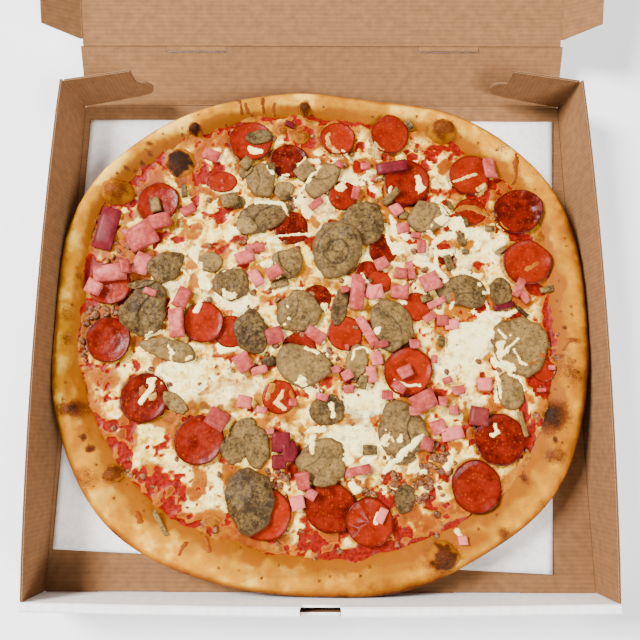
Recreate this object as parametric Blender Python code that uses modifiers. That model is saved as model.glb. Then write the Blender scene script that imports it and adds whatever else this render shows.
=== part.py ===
"""Large pizza with sliced meats in its open corrugated takeaway box, at real size.

Units are metres, +Z is up. The origin is the middle of the tray's underside, +X is to the right
and +Y points from the front wall to the hinged back wall and the lid.
"""
import math

import bmesh
import bpy
import numpy as np
from mathutils import Matrix, Vector

MM = 0.001
GAP = 0.35 * MM

# Corrugated board and tray
BOARD = 1.6 * MM
TRAY_HALF_WIDTH = 200 * MM
FRONT_FACE_Y = -193 * MM
SIDE_BACK_Y = 192 * MM
WALL_HEIGHT = 42 * MM
WALL_TOP = BOARD + WALL_HEIGHT
WALL_FOOT = 0.5 * MM
WALL_LEAN_FRONT = -2.6 * MM
WALL_LEAN_BACK = 3.4 * MM
WALL_BULGE = 5.0 * MM
WALL_STATIONS = 17
WALL_ROWS = 4

# Front wall: one board rolled over into a double wall
ROLL_DEPTH = 6.2 * MM
ROLL_CORNER_LEAN = 2.2 * MM
ROLL_BOW = 2.6 * MM
ROLL_STATIONS = 25
FOOT_LENGTH = 48 * MM
FOOT_CENTRES = (-138 * MM, 121 * MM)
SLOT_LENGTH = 27.5 * MM
SLOT_WIDTH = 9.4 * MM
SLOT_DEPTH = 6.5 * MM

# Back wall and lid, with the angles at which they rest open
BACK_HINGE_Y = 194.4 * MM
BACK_HEIGHT = 46.5 * MM
BACK_HALF_WIDTH = 199.3 * MM
BACK_TOP_HALF_WIDTH = 198.2 * MM
BACK_ANGLE = math.radians(32)
LID_ANGLE = math.radians(18)
LID_HALF_WIDTH = 196.8 * MM
LID_LENGTH = 382.5 * MM
CREASE = 0.5 * MM
NOTCH_CENTRES = (-103.5 * MM, 104.3 * MM)
NOTCH_LENGTH = 49.5 * MM
NOTCH_DEPTH = 5.0 * MM
TONGUE_DEPTH = 4.4 * MM

# Lid flaps and locking tongue
SIDE_FLAP_DEPTH = 31.5 * MM
SIDE_FLAP_ANGLE = math.radians(40)
FRONT_FLAP_DEPTH = 18 * MM
FRONT_FLAP_ANGLE = math.radians(32)
LOCK_WIDTH = 22 * MM
LOCK_ROOT = 7.3 * MM
LOCK_LENGTH = 9 * MM
LOCK_ANGLE = math.radians(18)

# Corner ears on the side walls
EAR_LENGTH = 53 * MM
EAR_TAB = 11 * MM
EAR_HEIGHT = 39.5 * MM
EAR_ANGLE = math.radians(84)

# Paper sheet under the pizza
PAPER_THICK = 0.4 * MM
PAPER_CORNERS = ((-194, 180), (194, 179), (169, -180), (-196.5, -163.5))

# Crust: outline radius as a mean and waves (amplitude in mm, waves per turn, peak in degrees)
CRUST_RADIUS = 204.0 * MM
CRUST_WAVES = ((1.9, 1, 114), (6.2, 2, 2.4), (1.8, 3, 25), (6.1, 4, 44), (1.5, 6, -24.6),
               (0.7, 8, 14), (0.7, 11, -5.7))
CRUST_SIDE_LIMIT = 202.0 * MM
CRUST_BOTTOM = BOARD + GAP + PAPER_THICK + GAP
CRUST_RECESS = 13.0 * MM
CRUST_WIDEST = 19.5 * MM
CRUST_TOP = 25.0 * MM
CRUST_INNER_TOP = 17.2 * MM
RIM_WIDTHS = ((0, 26), (45, 24), (90, 18), (135, 18), (180, 19), (225, 33), (270, 25), (315, 28))
CRUST_SEGMENTS = 126

# Blisters on the rim: place, radius and height in mm
BLISTERS = ((-114, 134, 13, 6), (-161, 109, 12, 4), (97, 160, 12, 5), (168, -66, 13, 5),
            (171, -94, 9, 3), (86, -167, 11, 5), (185, -40, 10, 3), (-182, -63, 11, 4),
            (-102, 162, 6, 2), (145, 145, 7, 2.5), (130, -149, 6, 2))

# Cheese and sauce
CHEESE_HEIGHT = 17.6 * MM
CHEESE_RINGS = (0.985, 0.93, 0.84, 0.72, 0.60, 0.48, 0.36, 0.24, 0.12)

# Toppings, lowest first: place in mm, radius in mm, cupped edge in mm
PEPPERONI = ((-129, 99, 17.2, 1.5), (-57, 152, 17.5, 1.0), (-26, 135, 15.2, 1.0),
             (13, 154, 14.6, 1.0), (55, 157, 15.8, 1.0), (68, 117, 19.0, 0.8),
             (118, 123, 16.8, 1.2), (154, 92, 18.9, 1.2), (159, 51, 18.6, 1.0),
             (-163, 33, 17.0, 0.5), (-160, -11, 17.4, 3.0), (-89, 3, 16.0, 1.2),
             (-131, -54, 18.6, 1.0), (-89, -85, 18.7, 1.0), (-40, -137, 19.4, 1.2),
             (7, -132, 18.7, 1.2), (35, -142, 17.5, 1.0), (112, -117, 18.8, 1.0),
             (131, -84, 19.1, 1.0), (65, -34, 18.7, 1.5))

# Grey-brown roast meat slices: place, length and width in mm, turn in degrees, lifted edge in mm
MEAT = ((-48, 119, 24, 30, 10, 1), (-46, 88, 44, 26, 20, 2), (1, 119, 38, 22, 50, 3),
        (33, 84, 36, 37, 0, 1), (12, 61, 40, 48, -10, 4), (84, 88, 34, 26, 15, 1),
        (109, 28, 40, 27, -8, 1), (150, -14, 45, 47, 0, 1), (-120, 47, 30, 24, 35, 3),
        (-134, 13, 35, 45, -20, 2), (-114, -18, 46, 17, -12, 2), (-69, 33, 29, 27, 15, 4),
        (-26, 50, 25, 24, 45, 3), (-17, 12, 35, 34, 0, 2), (-53, -4, 26, 37, 15, 1),
        (-14, -29, 45, 32, -15, 1), (53, 1, 34, 43, 10, 1), (60, -77, 37, 44, 20, 1),
        (1, -101, 37, 35, 20, 4), (-51, -127, 36, 50, 15, 1))
MEAT_SEGMENTS = 14
MEAT_THICK = 3.4 * MM
PEPPERONI_SEGMENTS = 18
PEPPERONI_THICK = 1.8 * MM

# How a slice settles: its gap to what is below, and the passes that lift its low facets
REST_GAP = 0.45 * MM
REST_PASSES = 12

# Ham pieces that are solids of their own: place, length, width and thickness in mm, turn
HAM = ((-140, 71, 24, 19, 5, 30), (-162, 41, 26, 13, 5, 8), (-109, 2, 11, 23, 6, 5),
       (28, 27, 11, 29, 6, -5), (-168, 78, 16, 35, 3, -12))

# Small ham and meat bits fused to the cheese: place, length and width in mm, turn in degrees
BITS = ((-104, 95, 11, 12, 10), (-141, 50, 14, 12, 60), (-59, 57, 14, 9, 20),
        (-44, 30, 12, 12, 0), (-45, -33, 13, 8, 20), (-56, -57, 10, 9, 40),
        (1, -54, 10, 6, 10), (62, 44, 11, 12, 15), (82, 48, 13, 13, 30), (97, 5, 15, 11, 10),
        (86, -13, 10, 8, 40), (122, -43, 12, 10, 20), (116, -65, 13, 13, 50),
        (106, -49, 9, 10, 0), (92, -80, 20, 12, 25), (-13, -75, 9, 8, 0), (-76, -66, 15, 9, 60),
        (134, 122, 9, 10, 20), (-87, 138, 11, 7, 15), (30, 110, 8, 9, 0), (90, -50, 15, 12, 45),
        (92, 60, 9, 10, 30), (-60, -30, 12, 11, 30), (135, 5, 12, 8, 0), (110, -10, 10, 9, 70),
        (-95, 125, 9, 7, 20), (5, -158, 9, 7, 0), (82, -115, 9, 10, 15), (-70, -112, 9, 8, 35),
        (28, -55, 10, 9, 20), (-150, -78, 9, 9, 10), (-110, -108, 9, 8, 40), (35, 135, 9, 8, 5),
        (-5, -73, 8, 8, 10), (120, 70, 10, 8, 30), (-88, 75, 9, 8, 5), (96, 140, 8, 7, 0))
BIT_RISE = 4.0 * MM
BIT_ROOT = 2.0 * MM

KRAFT = (0.48, 0.28, 0.15)
COLOURS = {
    "board": (KRAFT, 0.85), "paper": ((0.80, 0.78, 0.76), 0.8), "crust": ((0.72, 0.42, 0.15), 0.7),
    "cheese": ((0.85, 0.62, 0.28), 0.45), "pepperoni": ((0.50, 0.06, 0.02), 0.35),
    "roast_meat": ((0.22, 0.15, 0.08), 0.6), "ham": ((0.80, 0.36, 0.33), 0.4),
}


def clear_scene():
    """Remove every object that the scene starts with."""
    for old in list(bpy.data.objects):
        bpy.data.objects.remove(old)


def make_collection(name):
    """Return a new collection in the scene."""
    collection = bpy.data.collections.new(name)
    bpy.context.scene.collection.children.link(collection)
    return collection


def material(name, kind):
    """Return a plain Principled material in the colour and roughness of its kind."""
    colour, roughness = COLOURS[kind]
    result = bpy.data.materials.new(name + "_finish")
    result.use_nodes = True
    shader = result.node_tree.nodes["Principled BSDF"]
    shader.inputs["Base Color"].default_value = (*colour, 1)
    shader.inputs["Roughness"].default_value = roughness
    shader.inputs["Metallic"].default_value = 0
    return result


def add_object(name, mesh, kind, collection, parent=None):
    """Put a mesh in the collection as a named part with its own material."""
    part = bpy.data.objects.new(name, mesh)
    part.data.materials.append(material(name, kind))
    part.parent = parent
    collection.objects.link(part)
    return part


def add_empty(name, matrix, collection, parent=None):
    """Add an empty whose origin lies on a hinge axis."""
    empty = bpy.data.objects.new(name, None)
    empty.empty_display_size = 20 * MM
    empty.parent = parent
    empty.location = matrix.to_translation()
    empty.rotation_euler = matrix.to_euler()
    collection.objects.link(empty)
    return empty


def solidify(part, thickness=BOARD):
    """Give an open sheet its thickness behind the face that its normals show."""
    modifier = part.modifiers.new("board", "SOLIDIFY")
    modifier.thickness = thickness
    modifier.offset = -1
    modifier.use_even_offset = True
    return part


def outline_mesh(name, outline, height=0.0):
    """Return a flat mesh of one face from an outline that runs anticlockwise."""
    build = bmesh.new()
    build.faces.new([build.verts.new((x, y, height)) for x, y in outline])
    mesh = bpy.data.meshes.new(name)
    build.to_mesh(mesh)
    build.free()
    return mesh


def grid_mesh(name, rows, skipped=()):
    """Return an open sheet through rows of points, without the quads named in skipped."""
    build = bmesh.new()
    verts = [[build.verts.new(point) for point in row] for row in rows]
    for i in range(len(rows) - 1):
        for j in range(len(rows[i]) - 1):
            if (i, j) not in skipped:
                build.faces.new((verts[i][j], verts[i][j + 1], verts[i + 1][j + 1], verts[i + 1][j]))
    loose = [vert for vert in build.verts if not vert.link_faces]
    bmesh.ops.delete(build, geom=loose, context="VERTS")
    mesh = bpy.data.meshes.new(name)
    build.to_mesh(mesh)
    build.free()
    return mesh


def ring_mesh(name, rings, low_centre, high_centre, smooth_angle=50):
    """Return a closed body skinned over rings, with a fan of triangles at each end."""
    build = bmesh.new()
    verts = [[build.verts.new(point) for point in ring] for ring in rings]
    count = len(rings[0])
    ends = ((verts[0], build.verts.new(low_centre)), (verts[-1], build.verts.new(high_centre)))
    for j in range(count):
        after = (j + 1) % count
        for lower, upper in zip(verts[:-1], verts[1:]):
            build.faces.new((lower[j], lower[after], upper[after], upper[j]))
        build.faces.new((ends[0][0][after], ends[0][0][j], ends[0][1]))
        build.faces.new((ends[1][0][j], ends[1][0][after], ends[1][1]))
    bmesh.ops.recalc_face_normals(build, faces=build.faces)
    mesh = bpy.data.meshes.new(name)
    build.to_mesh(mesh)
    build.free()
    mesh.shade_smooth()
    mesh.set_sharp_from_angle(angle=math.radians(smooth_angle))
    return mesh


# Box


def wall_offset(along, rise):
    """Return how far a side wall's inner face stands outside its foot, from the pizza's push."""
    lean = WALL_LEAN_FRONT + (WALL_LEAN_BACK - WALL_LEAN_FRONT) * along
    bulge = WALL_BULGE * math.sin(math.pi * along) ** 0.8 if 0 < along < 1 else 0.0
    return lean * rise + bulge * rise ** 0.6


def build_side_wall(name, side, collection):
    """Build one side wall, bowed outwards between its corners."""
    rows = []
    for i in range(WALL_ROWS + 1):
        rise = i / WALL_ROWS
        start = FRONT_FACE_Y + ROLL_CORNER_LEAN * rise + GAP
        row = []
        for j in range(WALL_STATIONS):
            along = j / (WALL_STATIONS - 1)
            x = side * (TRAY_HALF_WIDTH + wall_offset(along, rise))
            row.append((x, start + (SIDE_BACK_Y - start) * along,
                        WALL_FOOT + (WALL_TOP - WALL_FOOT) * rise))
        rows.append(row if side < 0 else row[::-1])
    return solidify(add_object(name, grid_mesh(name, rows), "board", collection))


def roll_shift(x):
    """Return how far the top of the front wall leans, outwards at the middle of its length."""
    return ROLL_CORNER_LEAN - ROLL_BOW * math.cos(0.5 * math.pi * x / (TRAY_HALF_WIDTH + BOARD))


def roll_stations():
    """Return places along the front wall, with the ends of its feet among them."""
    half = TRAY_HALF_WIDTH + BOARD
    even = [half * (2 * i / (ROLL_STATIONS - 1) - 1) for i in range(ROLL_STATIONS)]
    feet = [centre + end * FOOT_LENGTH / 2 for centre in FOOT_CENTRES for end in (-1, 1)]
    far = [x for x in even if min(abs(x - foot) for foot in feet) > 4 * MM]
    return sorted(far + feet)


def build_front_wall(collection, cutters):
    """Build the rolled front wall with its two feet and the slot for the lid's tongue."""
    outer = FRONT_FACE_Y - ROLL_DEPTH
    corner = 1.0 * MM
    path = ((outer, WALL_FOOT), (outer, WALL_TOP / 2), (outer, WALL_TOP - corner),
            (outer + corner, WALL_TOP), (FRONT_FACE_Y - corner, WALL_TOP),
            (FRONT_FACE_Y, WALL_TOP - corner), (FRONT_FACE_Y, WALL_TOP / 2),
            (FRONT_FACE_Y, BOARD + GAP), (FRONT_FACE_Y, WALL_FOOT))
    stations = roll_stations()
    rows = []
    for y, z in path:
        rise = z / WALL_TOP
        scale = 1 + WALL_LEAN_FRONT * rise / TRAY_HALF_WIDTH
        rows.append([(x * scale, y + roll_shift(x) * rise, z) for x in stations])
    skipped = []
    for j in range(len(stations) - 1):
        middle = (stations[j] + stations[j + 1]) / 2
        if min(abs(middle - centre) for centre in FOOT_CENTRES) > FOOT_LENGTH / 2:
            skipped.append((len(path) - 2, j))
    wall = add_object("front_wall", grid_mesh("front_wall", rows, skipped), "board", collection)
    solidify(wall)
    build = bmesh.new()
    bmesh.ops.create_cube(build, size=1)
    slot_size = Matrix.Diagonal((SLOT_LENGTH, SLOT_WIDTH, 2 * SLOT_DEPTH, 1))
    bmesh.ops.transform(build, matrix=slot_size, verts=build.verts)
    upright = [edge for edge in build.edges
               if abs(edge.verts[0].co.z - edge.verts[1].co.z) > SLOT_DEPTH]
    bmesh.ops.bevel(build, geom=upright, offset=SLOT_WIDTH * 0.42, segments=4, profile=0.5,
                    affect="EDGES")
    mesh = bpy.data.meshes.new("slot_cutter")
    build.to_mesh(mesh)
    build.free()
    cut_from(wall, mesh, (0, FRONT_FACE_Y - ROLL_DEPTH / 2 + roll_shift(0), WALL_TOP), cutters)


def cut_from(part, mesh, place, cutters):
    """Cut a mesh, set at a place, out of a part."""
    cutter = bpy.data.objects.new(mesh.name, mesh)
    cutter.location = place
    cutter.hide_render = True
    cutter.display_type = "WIRE"
    cutters.objects.link(cutter)
    cut = part.modifiers.new(mesh.name, "BOOLEAN")
    cut.operation = "DIFFERENCE"
    cut.object = cutter


def build_floor(collection, cutters):
    """Build the tray's floor, with a slot for each foot of the front wall."""
    half = TRAY_HALF_WIDTH - GAP
    front = FRONT_FACE_Y - ROLL_DEPTH + BOARD + GAP
    back = BACK_HINGE_Y - CREASE
    outline = ((-half, front), (half, front), (half, back), (-half, back))
    floor = solidify(add_object("tray_floor", outline_mesh("tray_floor", outline, BOARD),
                                "board", collection))
    for number, centre in enumerate(FOOT_CENTRES):
        build = bmesh.new()
        bmesh.ops.create_cube(build, size=1)
        size = Matrix.Diagonal((FOOT_LENGTH + 2 * GAP, BOARD + 3 * GAP, 4 * BOARD, 1))
        bmesh.ops.transform(build, matrix=size, verts=build.verts)
        mesh = bpy.data.meshes.new(f"foot_cutter_{number}")
        build.to_mesh(mesh)
        build.free()
        cut_from(floor, mesh, (centre, FRONT_FACE_Y - BOARD / 2, BOARD / 2), cutters)


def hinge_matrix(origin, along, up):
    """Return the frame of a hinged panel: X along its length, Y along its hinge axis."""
    y_axis = Vector(up).normalized()
    x_axis = (Vector(along) - y_axis * y_axis.dot(Vector(along))).normalized()
    z_axis = x_axis.cross(y_axis)
    matrix = Matrix((x_axis, y_axis, z_axis)).transposed().to_4x4()
    matrix.translation = Vector(origin)
    return matrix


def build_ear(name, side, collection):
    """Build a corner ear, hinged on the back edge of its side wall and folded inwards."""
    foot = Vector((side * TRAY_HALF_WIDTH, SIDE_BACK_Y, BOARD))
    top = Vector((side * (TRAY_HALF_WIDTH + wall_offset(1, 1)), SIDE_BACK_Y, WALL_TOP))
    along = (-side * math.sin(EAR_ANGLE), math.cos(EAR_ANGLE), 0)
    hinge = add_empty(name + "_hinge", hinge_matrix(foot, along, top - foot), collection)
    reach = EAR_LENGTH + EAR_TAB
    outline = [(CREASE, 1.5 * MM), (EAR_LENGTH * 0.6, 3.5 * MM), (EAR_LENGTH, 5.5 * MM)]
    radius = 8.5 * MM
    middle = 14.5 * MM
    for step in range(7):
        turn = math.radians(-90 + 30 * step)
        outline.append((reach - radius + radius * math.cos(turn),
                        middle + radius * math.sin(turn)))
    outline += [(EAR_LENGTH, 24 * MM), (EAR_LENGTH + 0.8 * MM, EAR_HEIGHT), (CREASE, EAR_HEIGHT)]
    ear = add_object(name, outline_mesh(name, outline), "board", collection, hinge)
    if side > 0:
        ear.data.flip_normals()
    return solidify(ear)


def notched_edge(start, end, level, notch_level, margin):
    """Return the points along an edge at level that steps to notch_level at each notch."""
    direction = 1 if end > start else -1
    points = [(start, level)]
    for centre in sorted(NOTCH_CENTRES, reverse=direction < 0):
        half = direction * (NOTCH_LENGTH / 2 - margin)
        points += [(centre - half, level), (centre - half, notch_level),
                   (centre + half, notch_level), (centre + half, level)]
    return points + [(end, level)]


def build_back_wall(collection):
    """Build the reclined back wall and return its hinge."""
    place = Matrix.Translation((0, BACK_HINGE_Y, BOARD)) @ Matrix.Rotation(BACK_ANGLE, 4, "X")
    hinge = add_empty("back_wall_hinge", place, collection)
    top = BACK_HEIGHT - CREASE
    outline = [(-BACK_HALF_WIDTH, CREASE), (BACK_HALF_WIDTH, CREASE)]
    outline += notched_edge(BACK_TOP_HALF_WIDTH, -BACK_TOP_HALF_WIDTH, top,
                            BACK_HEIGHT - NOTCH_DEPTH, 0)
    panel = outline_mesh("back_wall", outline)
    solidify(add_object("back_wall", panel, "board", collection, hinge))
    return hinge


def build_lid(collection, back_hinge):
    """Build the lid with its tongues, its three flaps and its lock."""
    place = Matrix.Translation((0, BACK_HEIGHT, 0))
    place = place @ Matrix.Rotation(LID_ANGLE - BACK_ANGLE, 4, "X")
    hinge = add_empty("lid_hinge", place, collection, back_hinge)
    half = LID_HALF_WIDTH - CREASE
    front = LID_LENGTH - CREASE
    root_half = LOCK_WIDTH / 2 + MM
    root_end = LID_LENGTH + LOCK_ROOT - CREASE
    outline = notched_edge(-half, half, CREASE, -TONGUE_DEPTH, GAP)
    outline += [(half, front), (root_half, front), (root_half, root_end),
                (-root_half, root_end), (-root_half, front), (-half, front)]
    solidify(add_object("lid", outline_mesh("lid", outline), "board", collection, hinge))
    for name, side in (("lid_flap_left", -1), ("lid_flap_right", 1)):
        build_side_flap(name, side, collection, hinge)
    build_front_flap(collection, hinge)
    build_lock(collection, hinge)


def build_side_flap(name, side, collection, lid_hinge):
    """Build a dust flap along one side of the lid, with slanted ends."""
    place = Matrix.Translation((side * LID_HALF_WIDTH, 0, 0))
    place = place @ Matrix.Rotation(-side * SIDE_FLAP_ANGLE, 4, "Y")
    hinge = add_empty(name + "_hinge", place, collection, lid_hinge)
    outline = [(CREASE, 5 * MM), (SIDE_FLAP_DEPTH, 11 * MM), (SIDE_FLAP_DEPTH, LID_LENGTH - 36 * MM),
               (SIDE_FLAP_DEPTH - 6 * MM, LID_LENGTH - 28 * MM), (CREASE, LID_LENGTH - 14 * MM)]
    outline = [(side * x, y) for x, y in outline][::side]
    solidify(add_object(name, outline_mesh(name, outline), "board", collection, hinge))


def build_front_flap(collection, lid_hinge):
    """Build the shallow flap on the lid's front edge, notched round the locking tongue."""
    place = Matrix.Translation((0, LID_LENGTH, 0)) @ Matrix.Rotation(FRONT_FLAP_ANGLE, 4, "X")
    hinge = add_empty("lid_front_flap_hinge", place, collection, lid_hinge)
    half = 186 * MM
    taper = 9 * MM
    notch = LOCK_WIDTH / 2 + 2.5 * MM
    notch_depth = FRONT_FLAP_DEPTH - 5 * MM
    outline = [(-half, CREASE), (-notch, CREASE), (-notch, notch_depth), (notch, notch_depth),
               (notch, CREASE), (half, CREASE), (half - taper, FRONT_FLAP_DEPTH),
               (taper - half, FRONT_FLAP_DEPTH)]
    flap = outline_mesh("lid_front_flap", outline)
    solidify(add_object("lid_front_flap", flap, "board", collection, hinge))


def build_lock(collection, lid_hinge):
    """Build the end of the lid's tongue, which folds down into the front wall's slot."""
    place = Matrix.Translation((0, LID_LENGTH + LOCK_ROOT, 0))
    place = place @ Matrix.Rotation(LOCK_ANGLE, 4, "X")
    hinge = add_empty("lid_lock_hinge", place, collection, lid_hinge)
    half = LOCK_WIDTH / 2
    corner = 3 * MM
    outline = [(-half, CREASE), (half, CREASE)]
    for centre, start in ((half - corner, 0), (corner - half, 90)):
        for step in range(4):
            turn = math.radians(start + 30 * step)
            outline.append((centre + corner * math.cos(turn),
                            LOCK_LENGTH - corner + corner * math.sin(turn)))
    solidify(add_object("lid_lock", outline_mesh("lid_lock", outline), "board", collection, hinge))


def build_paper(collection):
    """Build the sheet of greaseproof paper that lies on the floor."""
    outline = [(x * MM, y * MM) for x, y in PAPER_CORNERS][::-1]
    sheet = outline_mesh("paper_liner", outline, BOARD + GAP + PAPER_THICK)
    solidify(add_object("paper_liner", sheet, "paper", collection), PAPER_THICK)


# Pizza


def crust_radius(turn):
    """Return the crust's outline radius at an angle: nearly square where the box squeezes it."""
    radius = CRUST_RADIUS
    for amplitude, waves, peak in CRUST_WAVES:
        radius += amplitude * MM * math.cos(waves * (turn - math.radians(peak)))
    side = abs(math.cos(turn))
    return min(radius, CRUST_SIDE_LIMIT / side) if side > 0.5 else radius


def rim_width(turn):
    """Return the width of the bare rim at an angle."""
    angles, widths = zip(*RIM_WIDTHS)
    degrees = math.degrees(turn) % 360
    return MM * (float(np.interp(degrees, angles, widths, period=360)) + 1.2 * math.sin(9 * turn))


def blister_rise(x, y):
    """Return the height that the rim's blisters add at a place."""
    rise = 0.0
    for bx, by, radius, height in BLISTERS:
        square = ((x / MM - bx) ** 2 + (y / MM - by) ** 2) / (0.62 * radius) ** 2
        rise += height * MM * math.exp(-square)
    return rise


def rim_lump(turn):
    """Return the slow rise and fall of the rim's height round the pizza."""
    return MM * (0.9 * math.sin(3 * turn + 1) + 0.8 * math.sin(7 * turn + 2)
                 + 0.6 * math.sin(13 * turn))


def crust_section(turn):
    """Return the crust's section at an angle as radius and height, from its underside inwards."""
    radius = crust_radius(turn)
    width = rim_width(turn)
    top = CRUST_TOP + rim_lump(turn)
    return ((radius - 17 * MM, CRUST_BOTTOM), (radius - 8 * MM, CRUST_BOTTOM + 1.6 * MM),
            (radius - 2.6 * MM, 9 * MM), (radius - 0.5 * MM, 15 * MM), (radius, CRUST_WIDEST),
            (radius - 0.11 * width, top - 2.2 * MM), (radius - 0.28 * width, top),
            (radius - 0.5 * width, top - 0.6 * MM), (radius - 0.76 * width, top - 3.4 * MM),
            (radius - width, CRUST_INNER_TOP), (radius - width - 3 * MM, CRUST_RECESS))


def polar(radius, turn, height):
    """Return a point from its radius, angle and height."""
    return (radius * math.cos(turn), radius * math.sin(turn), height)


def build_crust(collection):
    """Build the dough: a raised uneven rim round the recess that holds the cheese."""
    turns = [2 * math.pi * j / CRUST_SEGMENTS for j in range(CRUST_SEGMENTS)]
    sections = [crust_section(turn) for turn in turns]
    rings = []
    for level in range(len(sections[0])):
        ring = []
        for turn, section in zip(turns, sections):
            x, y, z = polar(section[level][0], turn, section[level][1])
            blistered = 5 <= level <= 8
            ring.append((x, y, z + blister_rise(x, y) if blistered else z))
        rings.append(ring)
    mesh = ring_mesh("crust", rings, (0, 0, CRUST_BOTTOM), (0, 0, CRUST_RECESS))
    add_object("crust", mesh, "crust", collection)


def cheese_height(x, y):
    """Return the height of the melted cheese, which swells and dips slowly."""
    u, v = x / MM, y / MM
    wave = 0.7 * np.sin(u / 17 + 1) * np.sin(v / 21 + 2) + 0.5 * np.sin(u / 31 - v / 26)
    return CHEESE_HEIGHT + wave * MM


def cheese_edge(turn):
    """Return the radius at which the cheese meets the rim."""
    return crust_radius(turn) - rim_width(turn) - 0.6 * MM


def build_cheese(collection, toppings):
    """Build the sauce and cheese, with the small bits that lie in it joined to it."""
    turns = [2 * math.pi * j / CRUST_SEGMENTS for j in range(CRUST_SEGMENTS)]
    edges = [cheese_edge(turn) for turn in turns]
    rings = [[polar(edge - 3.2 * MM, turn, CRUST_RECESS + GAP)
              for turn, edge in zip(turns, edges)],
             [polar(edge, turn, CRUST_INNER_TOP - 0.4 * MM) for turn, edge in zip(turns, edges)]]
    for share in CHEESE_RINGS:
        ring = []
        for turn, edge in zip(turns, edges):
            x, y, _ = polar(edge * share, turn, 0)
            ring.append((x, y, float(cheese_height(x, y))))
        rings.append(ring)
    top = (0, 0, float(cheese_height(0, 0)))
    mesh = ring_mesh("cheese", rings, (0, 0, CRUST_RECESS + GAP), top)
    cheese = add_object("cheese", mesh, "cheese", collection)
    bits = make_collection("cheese_bits")
    for number, (x, y, length, width, turn) in enumerate(BITS):
        if toppings.is_bare(x * MM, y * MM, 0.62 * max(length, width) * MM):
            build_bit(number, x, y, length, width, turn, bits)
    union = cheese.modifiers.new("bits", "BOOLEAN")
    union.operation = "UNION"
    union.operand_type = "COLLECTION"
    union.collection = bits
    with bpy.context.temp_override(object=cheese):
        bpy.ops.object.modifier_apply(modifier=union.name)
    for bit in list(bits.objects):
        bpy.data.objects.remove(bit)
    bpy.data.collections.remove(bits)


def build_bit(number, x, y, length, width, turn, bits):
    """Build one small piece, a wedge that stands a few millimetres out of the cheese."""
    build = bmesh.new()
    bmesh.ops.create_cube(build, size=1)
    for vert in build.verts:
        if vert.co.z > 0:
            vert.co.x *= 0.82
            vert.co.y *= 0.78
            vert.co.z += 0.15 * vert.co.x
    size = Matrix.Diagonal((length * MM, width * MM, BIT_RISE + BIT_ROOT, 1))
    middle = float(cheese_height(x * MM, y * MM)) + (BIT_RISE - BIT_ROOT) / 2
    place = Matrix.Translation((x * MM, y * MM, middle)) @ Matrix.Rotation(math.radians(turn), 4, "Z")
    bmesh.ops.transform(build, matrix=place @ size, verts=build.verts)
    mesh = bpy.data.meshes.new(f"bit_{number}")
    build.to_mesh(mesh)
    build.free()
    bits.objects.link(bpy.data.objects.new(mesh.name, mesh))


class ToppingStack:
    """Heights of what already lies on the pizza, so that each slice rests on those below it."""

    STEP = 1.0 * MM
    HALF = 205 * MM

    def __init__(self):
        count = round(2 * self.HALF / self.STEP) + 1
        self.axis = np.linspace(-self.HALF, self.HALF, count)
        x, y = np.meshgrid(self.axis, self.axis, indexing="ij")
        turns = np.linspace(-math.pi, math.pi, 181)
        edge = np.interp(np.arctan2(y, x), turns, [cheese_edge(turn) for turn in turns])
        beyond = np.hypot(x, y) - edge
        rim = np.minimum(CRUST_INNER_TOP + 0.8 * beyond, CRUST_TOP)
        cheese = cheese_height(x, y)
        self.bare = np.where(beyond > -self.STEP, np.maximum(cheese, rim), cheese)
        self.height = self.bare.copy()

    def cells(self, x_low, x_high, y_low, y_high):
        """Return the slices of the grid that cover a rectangle."""
        low_x, high_x = np.searchsorted(self.axis, (x_low - self.STEP, x_high + self.STEP))
        low_y, high_y = np.searchsorted(self.axis, (y_low - self.STEP, y_high + self.STEP))
        return slice(low_x, high_x + 1), slice(low_y, high_y + 1)

    def is_bare(self, x, y, reach):
        """Say whether nothing lies on the cheese within reach of a place."""
        area = self.cells(x - reach, x + reach, y - reach, y + reach)
        return bool((self.height[area] <= self.bare[area] + 0.01 * MM).all())

    def facet(self, corners, margin):
        """Return the cells round a triangle, which of them it covers, and its corners' shares."""
        (ax, ay), (bx, by), (cx, cy) = [corner[:2] for corner in corners]
        area = self.cells(min(ax, bx, cx), max(ax, bx, cx), min(ay, by, cy), max(ay, by, cy))
        x, y = np.meshgrid(self.axis[area[0]], self.axis[area[1]], indexing="ij")
        twice = (by - cy) * (ax - cx) + (cx - bx) * (ay - cy)
        a = ((by - cy) * (x - cx) + (cx - bx) * (y - cy)) / twice
        b = ((cy - ay) * (x - cx) + (ax - cx) * (y - cy)) / twice
        shares = np.stack((a, b, 1 - a - b))
        longest = max(math.dist((ax, ay), (bx, by)), math.dist((bx, by), (cx, cy)),
                      math.dist((cx, cy), (ax, ay)))
        return area, shares.min(axis=0) >= -margin * longest / abs(twice), shares

    def cover(self, corners):
        """Raise the stack to a facet of a slice's top."""
        area, covered, shares = self.facet(corners, 1.2 * self.STEP)
        levels = [corner[2] for corner in corners]
        height = np.minimum(np.tensordot(levels, shares, 1), max(levels))
        self.height[area] = np.where(covered, np.maximum(self.height[area], height),
                                     self.height[area])

    def level(self, x, y):
        """Return the height at a place."""
        i, j = np.searchsorted(self.axis, (x, y))
        return float(self.height[i, j])

    def shortfall(self, corners):
        """Return how far an underside's facet lies too low, and each corner's share there."""
        area, covered, shares = self.facet(corners, 0.5 * self.STEP)
        if not covered.any():
            return 0.0, np.full(3, 1 / 3)
        height = np.tensordot([corner[2] for corner in corners], shares, 1)
        lack = np.where(covered, self.height[area] + REST_GAP - height, -1.0)
        worst = np.unravel_index(lack.argmax(), lack.shape)
        return float(lack[worst]), np.clip(shares[(slice(None), *worst)], 0, 1)


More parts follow.
